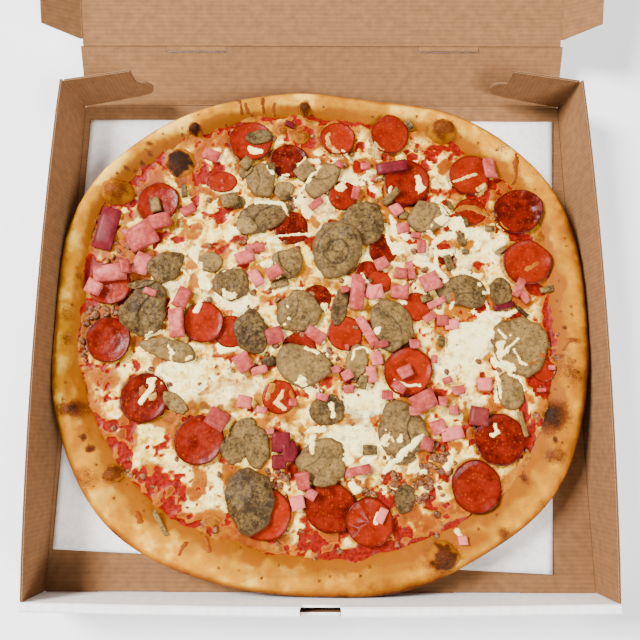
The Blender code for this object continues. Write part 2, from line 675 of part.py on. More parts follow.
def fan_facets(count, rings):
    """Return a slice's facets as corner numbers: 0 is the middle, then each ring's points."""
    facets = [(0, 1 + j, 1 + (j + 1) % count) for j in range(count)]
    for ring in range(rings - 1):
        start = 1 + ring * count
        for j in range(count):
            after = (j + 1) % count
            inner, outer = start + j, start + count + j
            facets.append((inner, outer, start + count + after))
            facets.append((inner, start + count + after, start + after))
    return facets


def lay_slice(name, kind, outline, shares, thickness, lift, toppings, collection):
    """Lay a slice on the stack: its underside clears what is below, its top keeps its thickness.

    outline gives the edge's points round the middle, shares the rings as parts of that edge,
    thickness the height of the middle and of each ring, and lift the rise of a point that curls.
    """
    count = len(outline)
    middle = (sum(x for x, _ in outline) / count, sum(y for _, y in outline) / count)
    flat = [middle]
    for share in shares:
        flat += [(middle[0] + (x - middle[0]) * share, middle[1] + (y - middle[1]) * share)
                 for x, y in outline]
    heights = np.array([toppings.level(x, y) for x, y in flat]) + REST_GAP
    facets = fan_facets(count, len(shares))
    for _ in range(REST_PASSES):
        for facet in facets:
            lack, weight = toppings.shortfall([(*flat[k], heights[k]) for k in facet])
            if lack > 0:
                heights[list(facet)] += lack * weight / (weight @ weight)
    levels = [0] + [1 + k // count for k in range(len(flat) - 1)]
    lifts = [lift(x - middle[0], y - middle[1], (0, *shares)[level])
             for (x, y), level in zip(flat, levels)]
    under = [(x, y, z + rise) for (x, y), z, rise in zip(flat, heights, lifts)]
    over = [(x, y, z + thickness[level]) for (x, y, z), level in zip(under, levels)]
    rings = [under[1 + k * count:1 + (k + 1) * count] for k in range(len(shares))]
    rings += [over[1 + k * count:1 + (k + 1) * count] for k in reversed(range(len(shares)))]
    add_object(name, ring_mesh(name, rings, under[0], over[0]), kind, collection)
    for facet in facets:
        toppings.cover([over[k] for k in facet])


def build_pepperoni(number, x, y, radius, cup, toppings, collection):
    """Build one pepperoni slice with a slightly cupped edge."""
    outline = []
    for j in range(PEPPERONI_SEGMENTS):
        turn = 2 * math.pi * j / PEPPERONI_SEGMENTS
        edge = radius * (1 + 0.025 * math.sin(2 * turn + number) + 0.015 * math.sin(5 * turn))
        outline.append(((x + edge * math.cos(turn)) * MM, (y + edge * math.sin(turn)) * MM))

    def lift(_x, _y, share):
        return cup * MM * share ** 3

    thick = [PEPPERONI_THICK] * 2 + [0.8 * PEPPERONI_THICK]
    lay_slice(f"pepperoni_{number:02d}", "pepperoni", outline, (0.55, 1.0), thick, lift, toppings,
              collection)


def build_meat(number, x, y, length, width, turn, lifted, toppings, collection):
    """Build one slice of roast meat: an uneven oval with one edge lifted where it curls."""
    base = math.radians(turn)
    outline = []
    for j in range(MEAT_SEGMENTS):
        angle = 2 * math.pi * j / MEAT_SEGMENTS
        edge = 1 + 0.07 * math.sin(3 * angle + 1.7 * number) + 0.05 * math.sin(5 * angle + number)
        u = 0.5 * length * edge * math.cos(angle)
        v = 0.5 * width * edge * math.sin(angle)
        outline.append(((x + u * math.cos(base) - v * math.sin(base)) * MM,
                        (y + u * math.sin(base) + v * math.cos(base)) * MM))
    curl = Vector((math.cos(1.9 * number), math.sin(1.9 * number)))
    size = 0.5 * max(length, width) * MM

    def lift(px, py, share):
        toward = (curl.x * px + curl.y * py) / size
        return lifted * MM * max(0.0, toward) ** 2 + 0.3 * MM * share ** 2

    thick = [MEAT_THICK, MEAT_THICK * 1.1, 0.55 * MEAT_THICK]
    lay_slice(f"roast_meat_{number:02d}", "roast_meat", outline, (0.6, 1.0), thick, lift, toppings,
              collection)


def build_ham(number, x, y, length, width, height, turn, toppings, collection):
    """Build one piece of ham, a small block with softened corners."""
    base = math.radians(turn)
    outline = []
    for u, v in ((0.5, -0.34), (0.5, 0.36), (0.38, 0.5), (-0.36, 0.5), (-0.5, 0.38), (-0.5, -0.36),
                 (-0.34, -0.5), (0.4, -0.5)):
        outline.append(((x + u * length * math.cos(base) - v * width * math.sin(base)) * MM,
                        (y + u * length * math.sin(base) + v * width * math.cos(base)) * MM))

    def lift(_x, _y, _share):
        return 0.0

    thick = [height * MM] * 2 + [0.75 * height * MM]
    lay_slice(f"ham_{number:02d}", "ham", outline, (0.7, 1.0), thick, lift, toppings, collection)


def build_toppings(collection):
    """Build every slice from the lowest up and return the heights that they reach."""
    toppings = ToppingStack()
    for number, entry in enumerate(PEPPERONI):
        build_pepperoni(number, *entry, toppings, collection)
    for number, entry in enumerate(MEAT):
        build_meat(number, *entry, toppings, collection)
    for number, entry in enumerate(HAM):
        build_ham(number, *entry, toppings, collection)
    return toppings


def main():
    """Build the box and the pizza."""
    clear_scene()
    parts = make_collection("pizza_in_box")
    cutters = make_collection("cutters")
    build_floor(parts, cutters)
    build_side_wall("side_wall_left", -1, parts)
    build_side_wall("side_wall_right", 1, parts)
    build_front_wall(parts, cutters)
    build_ear("ear_left", -1, parts)
    build_ear("ear_right", 1, parts)
    build_lid(parts, build_back_wall(parts))
    build_paper(parts)
    build_crust(parts)
    toppings = build_toppings(parts)
    build_cheese(parts, toppings)


main()
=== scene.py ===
"""Looks of a large meat pizza in its open corrugated takeaway box.

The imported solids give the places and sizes. Each class below dresses one sub-assembly: the board
box, the paper under the pizza, the dough, the cheese and sauce, the slices, and what melts over
them. Lengths are metres. Places given in photo pixels are brought into the row frame through the
camera, and each piece then rests on what lies below it.
"""

import logging
import math
from dataclasses import dataclass
from enum import Enum
from typing import Any, Iterable, Sequence

import bmesh
import bpy
import numpy as np
from bpy.types import Material, Node, NodeSocket, NodeTree, Object
from mathutils import Euler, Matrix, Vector
from mathutils.bvhtree import BVHTree


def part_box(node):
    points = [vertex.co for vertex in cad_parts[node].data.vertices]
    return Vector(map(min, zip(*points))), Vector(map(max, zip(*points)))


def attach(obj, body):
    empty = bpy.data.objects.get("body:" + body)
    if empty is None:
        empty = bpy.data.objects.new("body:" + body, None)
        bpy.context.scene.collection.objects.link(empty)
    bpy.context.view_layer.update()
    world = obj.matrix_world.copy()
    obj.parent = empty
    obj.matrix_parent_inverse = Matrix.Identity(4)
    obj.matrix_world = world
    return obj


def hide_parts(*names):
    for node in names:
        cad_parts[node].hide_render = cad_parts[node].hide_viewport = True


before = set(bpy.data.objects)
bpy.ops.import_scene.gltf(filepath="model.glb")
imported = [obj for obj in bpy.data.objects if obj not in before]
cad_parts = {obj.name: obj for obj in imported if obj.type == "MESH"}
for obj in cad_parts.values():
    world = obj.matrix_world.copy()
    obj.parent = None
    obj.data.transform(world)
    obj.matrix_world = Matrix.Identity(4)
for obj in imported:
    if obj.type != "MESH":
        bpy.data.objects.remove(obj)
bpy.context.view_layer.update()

log = logging.getLogger("pizza")
MM = 0.001
FLUTE = 3.2 * MM
BED_LOW = 17 * MM
BED_TOP = 18 * MM
Array = np.ndarray


def linear(hex_colour: str) -> tuple[float, float, float, float]:
    """Turn an sRGB hex colour such as "#C49C78" into linear RGBA.

    Args:
        hex_colour: six hex digits after a hash sign.

    Returns:
        Linear red, green, blue and an alpha of 1.
    """
    parts = [int(hex_colour[i:i + 2], 16) / 255 for i in (1, 3, 5)]
    red, green, blue = [p / 12.92 if p <= 0.04045 else ((p + 0.055) / 1.055) ** 2.4 for p in parts]
    return red, green, blue, 1.0


def node(tree: NodeTree, kind: str, inputs: dict[Any, Any] | None = None,
         ramp: Sequence[tuple[float, Any]] = (), **settings: Any) -> Node:
    """Add a node with its settings and links.

    Args:
        tree: the node tree.
        kind: the node's type name, which leaves out a leading ShaderNode.
        inputs: for each input, by name or number, a value or the socket that feeds it.
        ramp: stops of a colour ramp as place and hex colour or grey level.
        settings: attributes of the node.

    Returns:
        The new node.
    """
    made = tree.nodes.new(kind if "Node" in kind else "ShaderNode" + kind)
    for key, value in settings.items():
        setattr(made, key, value)
    for key, value in (inputs or {}).items():
        if isinstance(value, NodeSocket):
            tree.links.new(value, made.inputs[key])
        else:
            made.inputs[key].default_value = value
    stops = made.color_ramp.elements if ramp else None
    for number, (place, shade) in enumerate(ramp):
        stop = stops[number] if number < 2 else stops.new(place)
        stop.position = place
        stop.color = linear(shade) if isinstance(shade, str) else (shade, shade, shade, 1)
    return made


def placed(name: str, data: Any) -> Object:
    """Return a new object of the scene that shows the data."""
    made = bpy.data.objects.new(name, data)
    bpy.context.scene.collection.objects.link(made)
    return made


def smoothstep(low: float, high: float, value: Any) -> Any:
    """Return 0 below low and 1 above high, with a smooth change between them."""
    share = np.clip((value - low) / (high - low), 0, 1)
    return share * share * (3 - 2 * share)


class Noise:
    """Smooth lattice noise over a plane, the same on each run."""

    SIZE = 256

    def __init__(self, seed: int) -> None:
        """Draw the lattice from a fixed seed."""
        draw = np.random.default_rng(seed)
        self.table = draw.random((self.SIZE, self.SIZE)) * 2 - 1
        self.jitter = draw.random((self.SIZE, self.SIZE, 2))

    def at(self, x: Any, y: Any, grain: float) -> Any:
        """Return noise from -1 to 1 whose lumps are about grain wide."""
        u, v = np.asarray(x) / grain, np.asarray(y) / grain
        i, j = np.floor(u).astype(int), np.floor(v).astype(int)
        u, v = u - i, v - j
        u, v = u * u * (3 - 2 * u), v * v * (3 - 2 * v)
        size, table = self.SIZE, self.table
        low = table[i % size, j % size] * (1 - u) + table[(i + 1) % size, j % size] * u
        high = table[i % size, (j + 1) % size] * (1 - u) + table[(i + 1) % size, (j + 1) % size] * u
        return low * (1 - v) + high * v

    def fractal(self, x: Any, y: Any, grain: float, octaves: int = 4) -> Any:
        """Return noise from -1 to 1 with finer detail on top of lumps of size grain."""
        total, weight = 0.0, 0.0
        for octave in range(octaves):
            share = 0.55 ** octave
            total = total + share * self.at(np.asarray(x) + 0.0137 * octave, y, grain / 2 ** octave)
            weight += share
        return total / weight

    def pebbles(self, x: Any, y: Any, grain: float) -> tuple[Any, Any]:
        """Return the distance in grains to the nearest scattered point, and its own number."""
        u, v = np.asarray(x) / grain, np.asarray(y) / grain
        i, j = np.floor(u).astype(int), np.floor(v).astype(int)
        best = np.full(np.shape(u), 9.0)
        mark = np.zeros(np.shape(u))
        for di in (-1, 0, 1):
            for dj in (-1, 0, 1):
                spot = self.jitter[(i + di) % self.SIZE, (j + dj) % self.SIZE]
                away = np.hypot(i + di + spot[..., 0] - u, j + dj + spot[..., 1] - v)
                mark = np.where(away < best, spot[..., 0], mark)
                best = np.minimum(best, away)
        return best, mark


@dataclass(frozen=True)
class PhotoCamera:
    """The camera that took the photograph, in the row frame."""

    place: tuple[float, float, float] = (-0.00054, -0.08996, 0.48891)
    tilt: float = math.radians(11.455)
    roll: float = math.radians(0.16)
    focal_px: float = 629.91
    frame_px: float = 640.0

    def add(self) -> None:
        """Add the camera to the scene and make it the scene's camera."""
        data = bpy.data.cameras.new("photo_camera")
        data.sensor_width = 36.0
        data.lens = 36.0 * self.focal_px / self.frame_px
        data.clip_start = 0.01
        camera = placed("photo_camera", data)
        camera.location = self.place
        camera.rotation_euler = (self.tilt, 0, self.roll)
        bpy.context.scene.camera = camera

    def spot(self, px: float, py: float, height: float = 19.5 * MM) -> tuple[float, float]:
        """Return the place at a height that a photo pixel shows.

        Args:
            px: pixels from the left edge.
            py: pixels from the top edge.
            height: height above the ground.

        Returns:
            X and Y in the row frame.
        """
        middle = self.frame_px / 2
        ray = Euler((self.tilt, 0, self.roll)).to_matrix() @ Vector(
            ((px - middle) / self.focal_px, (middle - py) / self.focal_px, -1))
        reach = (height - self.place[2]) / ray.z
        return self.place[0] + reach * ray.x, self.place[1] + reach * ray.y


CAMERA = PhotoCamera()
PX = 0.745 * MM


def turned(middle: tuple[float, float], u: Any, v: Any, degrees: float) -> tuple[Any, Any]:
    """Return places from their offsets along and across a turned line through a middle."""
    turn = math.radians(degrees)
    return (middle[0] + u * math.cos(turn) - v * math.sin(turn),
            middle[1] + u * math.sin(turn) + v * math.cos(turn))


# Finishes


def principled(name: str, roughness: float, specular: float) -> tuple[Material, NodeTree, Node]:
    """Start a material for something that isn't metal.

    Args:
        name: the material's name.
        roughness: its roughness before any texture.
        specular: the shader's specular level, 0.5 for an index of 1.5.

    Returns:
        The material, its tree and its shader.
    """
    made = bpy.data.materials.new(name)
    made.use_nodes = True
    shader = made.node_tree.nodes["Principled BSDF"]
    shader.inputs["Roughness"].default_value = roughness
    shader.inputs["Specular IOR Level"].default_value = specular
    return made, made.node_tree, shader


def coat(tree: NodeTree, shader: Node, colour: NodeSocket, height: NodeSocket | None = None,
         strength: float = 0.0, depth: float = 0.0) -> None:
    """Give a shader its colour and its fine relief.

    Args:
        tree: the material's tree.
        shader: its shader.
        colour: the base colour.
        height: the relief, or nothing for a smooth face.
        strength: how strongly the relief shades.
        depth: how deep it is.
    """
    tree.links.new(colour, shader.inputs["Base Color"])
    if height:
        bump = node(tree, "Bump", {"Height": height, "Strength": strength,
                                             "Distance": depth})
        tree.links.new(bump.outputs[0], shader.inputs["Normal"])


def layer(tree: NodeTree, below: NodeSocket, above: Any, amount: NodeSocket,
          stops: Sequence[tuple[float, float]] = ()) -> NodeSocket:
    """Lay one colour over another.

    Args:
        tree: the material's tree.
        below: the colour below.
        above: the colour on top, as a socket or a hex colour.
        amount: how much of it shows.
        stops: a ramp that the amount passes first.

    Returns:
        The colour of both.
    """
    if stops:
        amount = node(tree, "ValToRGB", {"Fac": amount}, ramp=stops).outputs["Color"]
    top = linear(above) if isinstance(above, str) else above
    return node(tree, "Mix", {0: amount, 6: below, 7: top}, data_type="RGBA").outputs[2]


def noises(tree: NodeTree, *grades: tuple[float, float, float]) -> list[NodeSocket]:
    """Return Object coordinates, then a noise for each scale, detail and roughness."""
    place = node(tree, "TexCoord").outputs["Object"]
    return [place] + [node(tree, "TexNoise", {"Vector": place, "Scale": scale,
                                                        "Detail": detail, "Roughness": rough}
                           ).outputs["Fac"] for scale, detail, rough in grades]


def flecks(tree: NodeTree, place: NodeSocket, scale: float, size: Sequence[tuple[float, float]],
           chance: Sequence[tuple[float, float]]) -> NodeSocket:
    """Return round flecks strewn over a material.

    Args:
        tree: the material's tree.
        place: its coordinates.
        scale: how many cells lie along a metre.
        size: the ramp from a fleck's middle outwards.
        chance: the ramp that says which cells have one.

    Returns:
        How much of a fleck shows.
    """
    cells = node(tree, "TexVoronoi", {"Vector": place, "Scale": scale})
    mark = node(tree, "SeparateColor", {0: cells.outputs["Color"]}).outputs[0]
    some = node(tree, "ValToRGB", {"Fac": mark}, ramp=chance).outputs["Color"]
    near = node(tree, "ValToRGB", {"Fac": cells.outputs["Distance"]}, ramp=size)
    return node(tree, "Math", {0: near.outputs["Color"], 1: some},
                operation="MULTIPLY").outputs[0]


def flute_wave(tree: NodeTree, distance: NodeSocket, swing: float) -> NodeSocket:
    """Return a wave round 0.5 that repeats with every flute of the board."""
    turn = node(tree, "Math", {0: distance, 1: 2 * math.pi / FLUTE},
                operation="MULTIPLY")
    wave = node(tree, "Math", {0: turn.outputs[0]}, operation="SINE")
    return node(tree, "Math", {0: wave.outputs[0], 1: swing, 2: 0.5},
                operation="MULTIPLY_ADD").outputs[0]


def stirred(tree: NodeTree, attribute: str, grain: NodeSocket, fine: float, cloud: NodeSocket,
            coarse: float) -> NodeSocket:
    """Return a painted attribute with its border broken up by two noises.

    Args:
        tree: the material's tree.
        attribute: the name of the value painted on the mesh.
        grain: fine noise around 0.5.
        fine: how much the fine noise moves the value.
        cloud: coarse noise around 0.5.
        coarse: how much the coarse noise moves the value.

    Returns:
        The value, kept from 0 to 1.
    """
    paint = node(tree, "Attribute", attribute_name=attribute).outputs["Fac"]
    low = -0.5 * (fine + coarse)
    first = node(tree, "Math", {0: grain, 1: fine, 2: low}, operation="MULTIPLY_ADD")
    second = node(tree, "Math", {0: cloud, 1: coarse, 2: first.outputs[0]},
                  operation="MULTIPLY_ADD")
    weight = node(tree, "ValToRGB", {"Fac": paint},
                  ramp=((0.0, 0.0), (0.25, 1.0), (0.75, 1.0), (1.0, 0.6)))
    third = node(tree, "Math", {0: second.outputs[0], 1: weight.outputs["Color"],
                                          2: paint}, operation="MULTIPLY_ADD", use_clamp=True)
    return third.outputs[0]


@dataclass(frozen=True)
class KraftLiner:
    """Brown kraft test liner, machine-finished: matt, with short fibres and a faint washboard
    of the flutes beneath it, in the relief and as painted light and shade in the colour."""

    name: str = "kraft_test_liner"
    light: str = "#875E3B"
    dark: str = "#745133"
    fibre: str = "#583B24"
    speck: str = "#32241A"

    def build(self) -> Material:
        """Return the material. It reads the board's own UV map, in metres on the flat blank."""
        made, tree, shader = principled(self.name, roughness=0.86, specular=0.12)
        place = node(tree, "UVMap", uv_map="board").outputs["UV"]
        cloud = node(tree, "TexNoise", {"Vector": place, "Scale": 160.0, "Detail": 4.0})
        shades = node(tree, "ValToRGB", {"Fac": cloud.outputs["Fac"]},
                      ramp=((0.3, self.dark), (0.7, self.light)))
        stretch = node(tree, "Mapping", {"Vector": place, "Scale": (900, 2600, 1)})
        fibres = node(tree, "TexNoise", {"Vector": stretch.outputs[0], "Scale": 1.0,
                                                   "Detail": 2.0}).outputs["Fac"]
        fibrous = layer(tree, shades.outputs["Color"], self.fibre, fibres,
                        ((0.60, 0.0), (0.78, 1.0)))
        specks = node(tree, "TexVoronoi", {"Vector": place, "Scale": 55.0})
        dotted = layer(tree, fibrous, self.speck, specks.outputs["Distance"],
                       ((0.02, 0.5), (0.035, 0.0)))
        flutes = flute_wave(tree, node(tree, "SeparateXYZ", {0: place}).outputs[1], 0.5)
        # The flute wave lightens and darkens the colour in stripes: painted light and shade of the
        # washboard.
        flute_shaded = node(tree, "Mix", {0: 0.06, 6: dotted, 7: flutes}, data_type="RGBA",
                      blend_type="OVERLAY")
        rough = node(tree, "Math", {0: fibres, 1: flutes}, operation="ADD")
        coat(tree, shader, flute_shaded.outputs[2], rough.outputs[0], 0.16, 0.12 * MM)
        return made


@dataclass(frozen=True)
class WhiteLiner:
    """Bleached white-top liner, machine-finished: matt, nearly even, with a faint grey cloud."""

    name: str = "white_top_liner"
    light: str = "#FBF9F7"
    dark: str = "#EDEAE8"

    def build(self) -> Material:
        """Return the material. It reads the board's own UV map."""
        made, tree, shader = principled(self.name, roughness=0.7, specular=0.3)
        place = node(tree, "UVMap", uv_map="board").outputs["UV"]
        cloud = node(tree, "TexNoise", {"Vector": place, "Scale": 210.0,
                                                  "Detail": 5.0}).outputs["Fac"]
        shades = node(tree, "ValToRGB", {"Fac": cloud},
                      ramp=((0.32, self.dark), (0.66, self.light)))
        flutes = flute_wave(tree, node(tree, "SeparateXYZ", {0: place}).outputs[1], 0.5)
        rough = node(tree, "Math", {0: cloud, 1: flutes}, operation="ADD")
        coat(tree, shader, shades.outputs["Color"], rough.outputs[0], 0.12, 0.1 * MM)
        return made


@dataclass(frozen=True)
class CutBoardEdge:
    """Die-cut edge of fine-fluted board: two pale liner lines with the wavy medium between
    them and painted shade in the holes of its bends."""

    name: str = "die_cut_flutes"
    liner: str = "#9E7550"
    medium: str = "#7C5838"
    # Painted shade inside the flute holes.
    hole_shade: str = "#241810"

    def build(self) -> Material:
        """Return the material. Its UV runs along the edge in metres and across it from 0 to 1."""
        made, tree, shader = principled(self.name, roughness=0.9, specular=0.2)
        place = node(tree, "UVMap", uv_map="board").outputs["UV"]
        along, across = node(tree, "SeparateXYZ", {0: place}).outputs[:2]
        offsets = []
        for middle in (flute_wave(tree, along, 0.3), 0.5):
            away = node(tree, "Math", {0: across, 1: middle}, operation="SUBTRACT")
            offsets.append(node(tree, "Math", {0: away.outputs[0]},
                                operation="ABSOLUTE").outputs[0])
        # Away from the medium the holes are coloured dark as painted shade.
        paper = node(tree, "ValToRGB", {"Fac": offsets[0]},
                     ramp=((0.10, self.medium), (0.20, self.hole_shade)))
        coat(tree, shader, layer(tree, paper.outputs["Color"], self.liner, offsets[1],
                                 ((0.30, 0.0), (0.36, 1.0))))
        return made


@dataclass(frozen=True)
class GreasePaper:
    """Bleached greaseproof paper, supercalendered: pale grey-white, softly clouded."""

    name: str = "greaseproof_paper"
    light: str = "#FCF9F4"
    dark: str = "#E6E2DC"

    def build(self) -> Material:
        """Return the material. Its clouds are 2 to 6 mm wide, as in the photograph."""
        made, tree, shader = principled(self.name, roughness=0.6, specular=0.35)
        _, cloud = noises(tree, (230.0, 5.0, 0.65))
        shades = node(tree, "ValToRGB", {"Fac": cloud},
                      ramp=((0.3, self.dark), (0.68, self.light)))
        coat(tree, shader, shades.outputs["Color"], cloud, 0.25, 0.15 * MM)
        return made


@dataclass(frozen=True)
class BakedDough:
    """Wheat dough, stone-baked: pale floury cream where it swelled, golden where it touched
    the oven air, orange where oil ran down and dark brown on the blisters."""

    name: str = "stone_baked_dough"
    pale: str = "#E8B644"
    cream: str = "#C68200"
    honey: str = "#A86800"
    gold: str = "#904E00"
    tan: str = "#80440A"
    golden: str = "#A26C00"
    oil: str = "#8A4A00"
    brown: str = "#5C2A07"
    char: str = "#241208"

    def build(self) -> Material:
        """Return the material. It reads the attributes bake, oil and char painted on the dough."""
        made, tree, shader = principled(self.name, roughness=0.62, specular=0.07)
        _, grain, cloud = noises(tree, (900.0, 4.0, 0.6), (120.0, 5.0, 0.6))
        bake = stirred(tree, "bake", grain, 0.25, cloud, 0.35)
        base = node(tree, "ValToRGB", {"Fac": bake},
                    ramp=((0.04, self.pale), (0.2, self.cream), (0.42, self.honey),
                          (0.64, self.gold), (0.86, self.tan), (1.0, self.brown)))
        oil = stirred(tree, "oil", grain, 0.15, cloud, 0.35)
        amber = node(tree, "ValToRGB", {"Fac": oil},
                     ramp=((0.5, self.golden), (1.0, self.oil)))
        oiled = layer(tree, base.outputs["Color"], amber.outputs["Color"], oil)
        char = stirred(tree, "char", grain, 0.9, cloud, 0.9)
        burnt = node(tree, "ValToRGB", {"Fac": char},
                     ramp=((0.20, self.tan), (0.62, self.brown), (1.0, self.char)))
        baked = layer(tree, oiled, burnt.outputs["Color"], char, ((0.08, 0.0), (0.5, 1.0)))
        gloss = node(tree, "MapRange", {0: oil, 1: 0.0, 2: 1.0, 3: 0.7, 4: 0.56})
        tree.links.new(gloss.outputs[0], shader.inputs["Roughness"])
        coat(tree, shader, baked, grain, 0.35, 0.12 * MM)
        return made


@dataclass(frozen=True)
class MeltedCheese:
    """Part-skim mozzarella, melted over tomato sauce: cream and oily, with toasted spots,
    orange fat and red sauce showing through."""

    name: str = "melted_mozzarella"
    cream: str = "#EEC44E"
    warm: str = "#BE7E08"
    white: str = "#FFF0A8"
    golden: str = "#A06400"
    orange: str = "#8A3E00"
    stain: str = "#A05400"
    sauce: str = "#8A1400"
    deep: str = "#500600"
    toast: str = "#5A2606"
    herb: str = "#4A3414"

    def build(self) -> Material:
        """Return the material. It reads the attributes sauce, fat, toast and melt."""
        made, tree, shader = principled(self.name, roughness=0.34, specular=0.1)
        place, grain, cloud = noises(tree, (420.0, 6.0, 0.65), (170.0, 5.0, 0.6))
        base = node(tree, "ValToRGB", {"Fac": cloud},
                    ramp=((0.36, self.warm), (0.48, self.cream), (0.64, self.white)))
        melt = stirred(tree, "melt", grain, 0.25, cloud, 0.5)
        pale = layer(tree, base.outputs["Color"], self.white, melt)
        fat = stirred(tree, "fat", grain, 0.35, cloud, 0.8)
        amber = node(tree, "ValToRGB", {"Fac": fat},
                     ramp=((0.4, self.golden), (0.85, self.orange)))
        fatty = layer(tree, pale, amber.outputs["Color"], fat, ((0.16, 0.0), (0.46, 1.0)))
        toasted = layer(tree, fatty, self.toast, stirred(tree, "toast", grain, 0.6, cloud, 0.9))
        herbs = flecks(tree, place, 330.0, ((0.10, 1.0), (0.34, 0.0)),
                       ((0.62, 0.0), (0.66, 0.62)))
        freckled = layer(tree, toasted, self.herb, herbs)
        sauce = stirred(tree, "sauce", grain, 0.35, cloud, 0.8)
        stained = layer(tree, freckled, self.stain, sauce, ((0.12, 0.0), (0.36, 1.0)))
        red = node(tree, "ValToRGB", {"Fac": grain},
                   ramp=((0.35, self.deep), (0.6, self.sauce)))
        amount = node(tree, "ValToRGB", {"Fac": sauce},
                      ramp=((0.4, 0.0), (0.56, 1.0))).outputs["Color"]
        sauced = layer(tree, stained, red.outputs["Color"], amount)
        gloss = node(tree, "MapRange", {0: amount, 1: 0.0, 2: 1.0, 3: 0.46, 4: 0.42})
        tree.links.new(gloss.outputs[0], shader.inputs["Roughness"])
        both = node(tree, "Math", {0: grain, 1: cloud}, operation="ADD")
        coat(tree, shader, sauced, both.outputs[0], 0.6, 0.3 * MM)
        return made


@dataclass(frozen=True)
class CuredSausage:
    """Pepperoni, fermented and sliced, then roasted: glossy orange-red with pale fat flecks
    about 1 mm wide and a darker casing edge."""

    name: str = "sliced_pepperoni"
    bright: str = "#861D00"
    red: str = "#6C1200"
    dark: str = "#3C0400"
    fleck: str = "#A04406"

    def build(self) -> Material:
        """Return the material. It reads the attributes edge and tone of a slice."""
        made, tree, shader = principled(self.name, roughness=0.24, specular=0.11)
        place, grain, cloud = noises(tree, (430.0, 6.0, 0.7), (130.0, 4.0, 0.6))
        tone = stirred(tree, "tone", grain, 0.5, cloud, 0.9)
        base = node(tree, "ValToRGB", {"Fac": tone},
                    ramp=((0.2, self.dark), (0.46, self.red), (0.8, self.bright)))
        fats = flecks(tree, place, 480.0, ((0.12, 1.0), (0.5, 0.0)), ((0.55, 0.0), (1.0, 0.6)))
        flecked = layer(tree, base.outputs["Color"], self.fleck, fats)
        edge = node(tree, "Attribute", attribute_name="edge").outputs["Fac"]
        cased = layer(tree, flecked, self.dark, edge, ((0.88, 0.0), (0.97, 0.75)))
        gloss = node(tree, "MapRange", {0: cloud, 1: 0.3, 2: 0.7, 3: 0.2, 4: 0.42})
        tree.links.new(gloss.outputs[0], shader.inputs["Roughness"])
        both = node(tree, "Math", {0: grain, 1: cloud}, operation="ADD")
        coat(tree, shader, cased, both.outputs[0], 0.5, 0.22 * MM)
        return made


@dataclass(frozen=True)
class RoastMeat:
    """Seasoned meat loaf, roasted and sliced thin: olive grey-brown, finely granular, with dark
    pepper specks and browned edges."""

    name: str = "sliced_roast_meat"
    light: str = "#866838"
    mid: str = "#624A26"
    dark: str = "#322210"
    edge: str = "#4E3216"
    speck: str = "#15110D"
    # Painted shade along the creases of folded slices.
    fold: str = "#2A1D12"

    def build(self) -> Material:
        """Return the material. It reads the attributes edge, tone and crease of a slice; the crease
        is painted shade in folds.
        """
        made, tree, shader = principled(self.name, roughness=0.5, specular=0.1)
        place, grain, cloud = noises(tree, (400.0, 7.0, 0.75), (110.0, 4.0, 0.6))
        tone = stirred(tree, "tone", grain, 2.0, cloud, 1.2)
        base = node(tree, "ValToRGB", {"Fac": tone},
                    ramp=((0.15, self.dark), (0.5, self.mid), (0.88, self.light)))
        cells = node(tree, "TexVoronoi", {"Vector": place, "Scale": 210.0})
        peppered = layer(tree, base.outputs["Color"], self.speck, cells.outputs["Distance"],
                         ((0.08, 0.9), (0.15, 0.0)))
        edge, crease = [node(tree, "Attribute", attribute_name=name).outputs["Fac"]
                        for name in ("edge", "crease")]
        browned = layer(tree, peppered, self.edge, edge, ((0.86, 0.0), (0.97, 0.7)))
        # The fold colour darkens the creases as painted shade.
        coat(tree, shader, layer(tree, browned, self.fold, crease), grain, 0.7, 0.4 * MM)
        return made


@dataclass(frozen=True)
class CookedHam:
    """Cooked ham, brined, pressed and diced: moist pink with a faint grain of muscle."""

    name: str = "cooked_ham"
    light: str = "#CE6A60"
    pink: str = "#9A3A32"
    deep: str = "#662220"

    def build(self) -> Material:
        """Return the material. It reads the attribute tone of a piece."""
        made, tree, shader = principled(self.name, roughness=0.42, specular=0.1)
        _, grain, cloud = noises(tree, (420.0, 4.0, 0.6), (150.0, 3.0, 0.5))
        tone = stirred(tree, "tone", grain, 0.6, cloud, 0.7)
        base = node(tree, "ValToRGB", {"Fac": tone},
                    ramp=((0.1, self.deep), (0.45, self.pink), (0.85, self.light)))
        coat(tree, shader, base.outputs["Color"], grain, 0.3, 0.3 * MM)
        return made


@dataclass(frozen=True)
class FriedMince:
    """Fried minced meat, crumbled: dark red-brown, granular and oily."""

    name: str = "fried_mince"
    light: str = "#94643A"
    mid: str = "#6A3A1C"
    dark: str = "#3A1A0C"

    def build(self) -> Material:
        """Return the material. Its colour changes over 3 mm, about one crumb."""
        made, tree, shader = principled(self.name, roughness=0.45, specular=0.25)
        _, cloud = noises(tree, (330.0, 6.0, 0.7))
        shades = node(tree, "ValToRGB", {"Fac": cloud},
                      ramp=((0.34, self.dark), (0.5, self.mid), (0.66, self.light)))
        coat(tree, shader, shades.outputs["Color"], cloud, 0.6, 0.5 * MM)
        return made


@dataclass(frozen=True)
class PlainPaint:
    """Matt studio background paint, rolled: an even pale sweep."""

    name: str = "studio_sweep"
    light: str = "#FBFBFB"
    dark: str = "#F5F5F5"

    def build(self) -> Material:
        """Return the material."""
        made, tree, shader = principled(self.name, roughness=0.9, specular=0.2)
        _, cloud = noises(tree, (6.0, 2.0, 0.5))
        shades = node(tree, "ValToRGB", {"Fac": cloud},
                      ramp=((0.3, self.dark), (0.7, self.light)))
        coat(tree, shader, shades.outputs["Color"])
        return made


# Mesh helpers


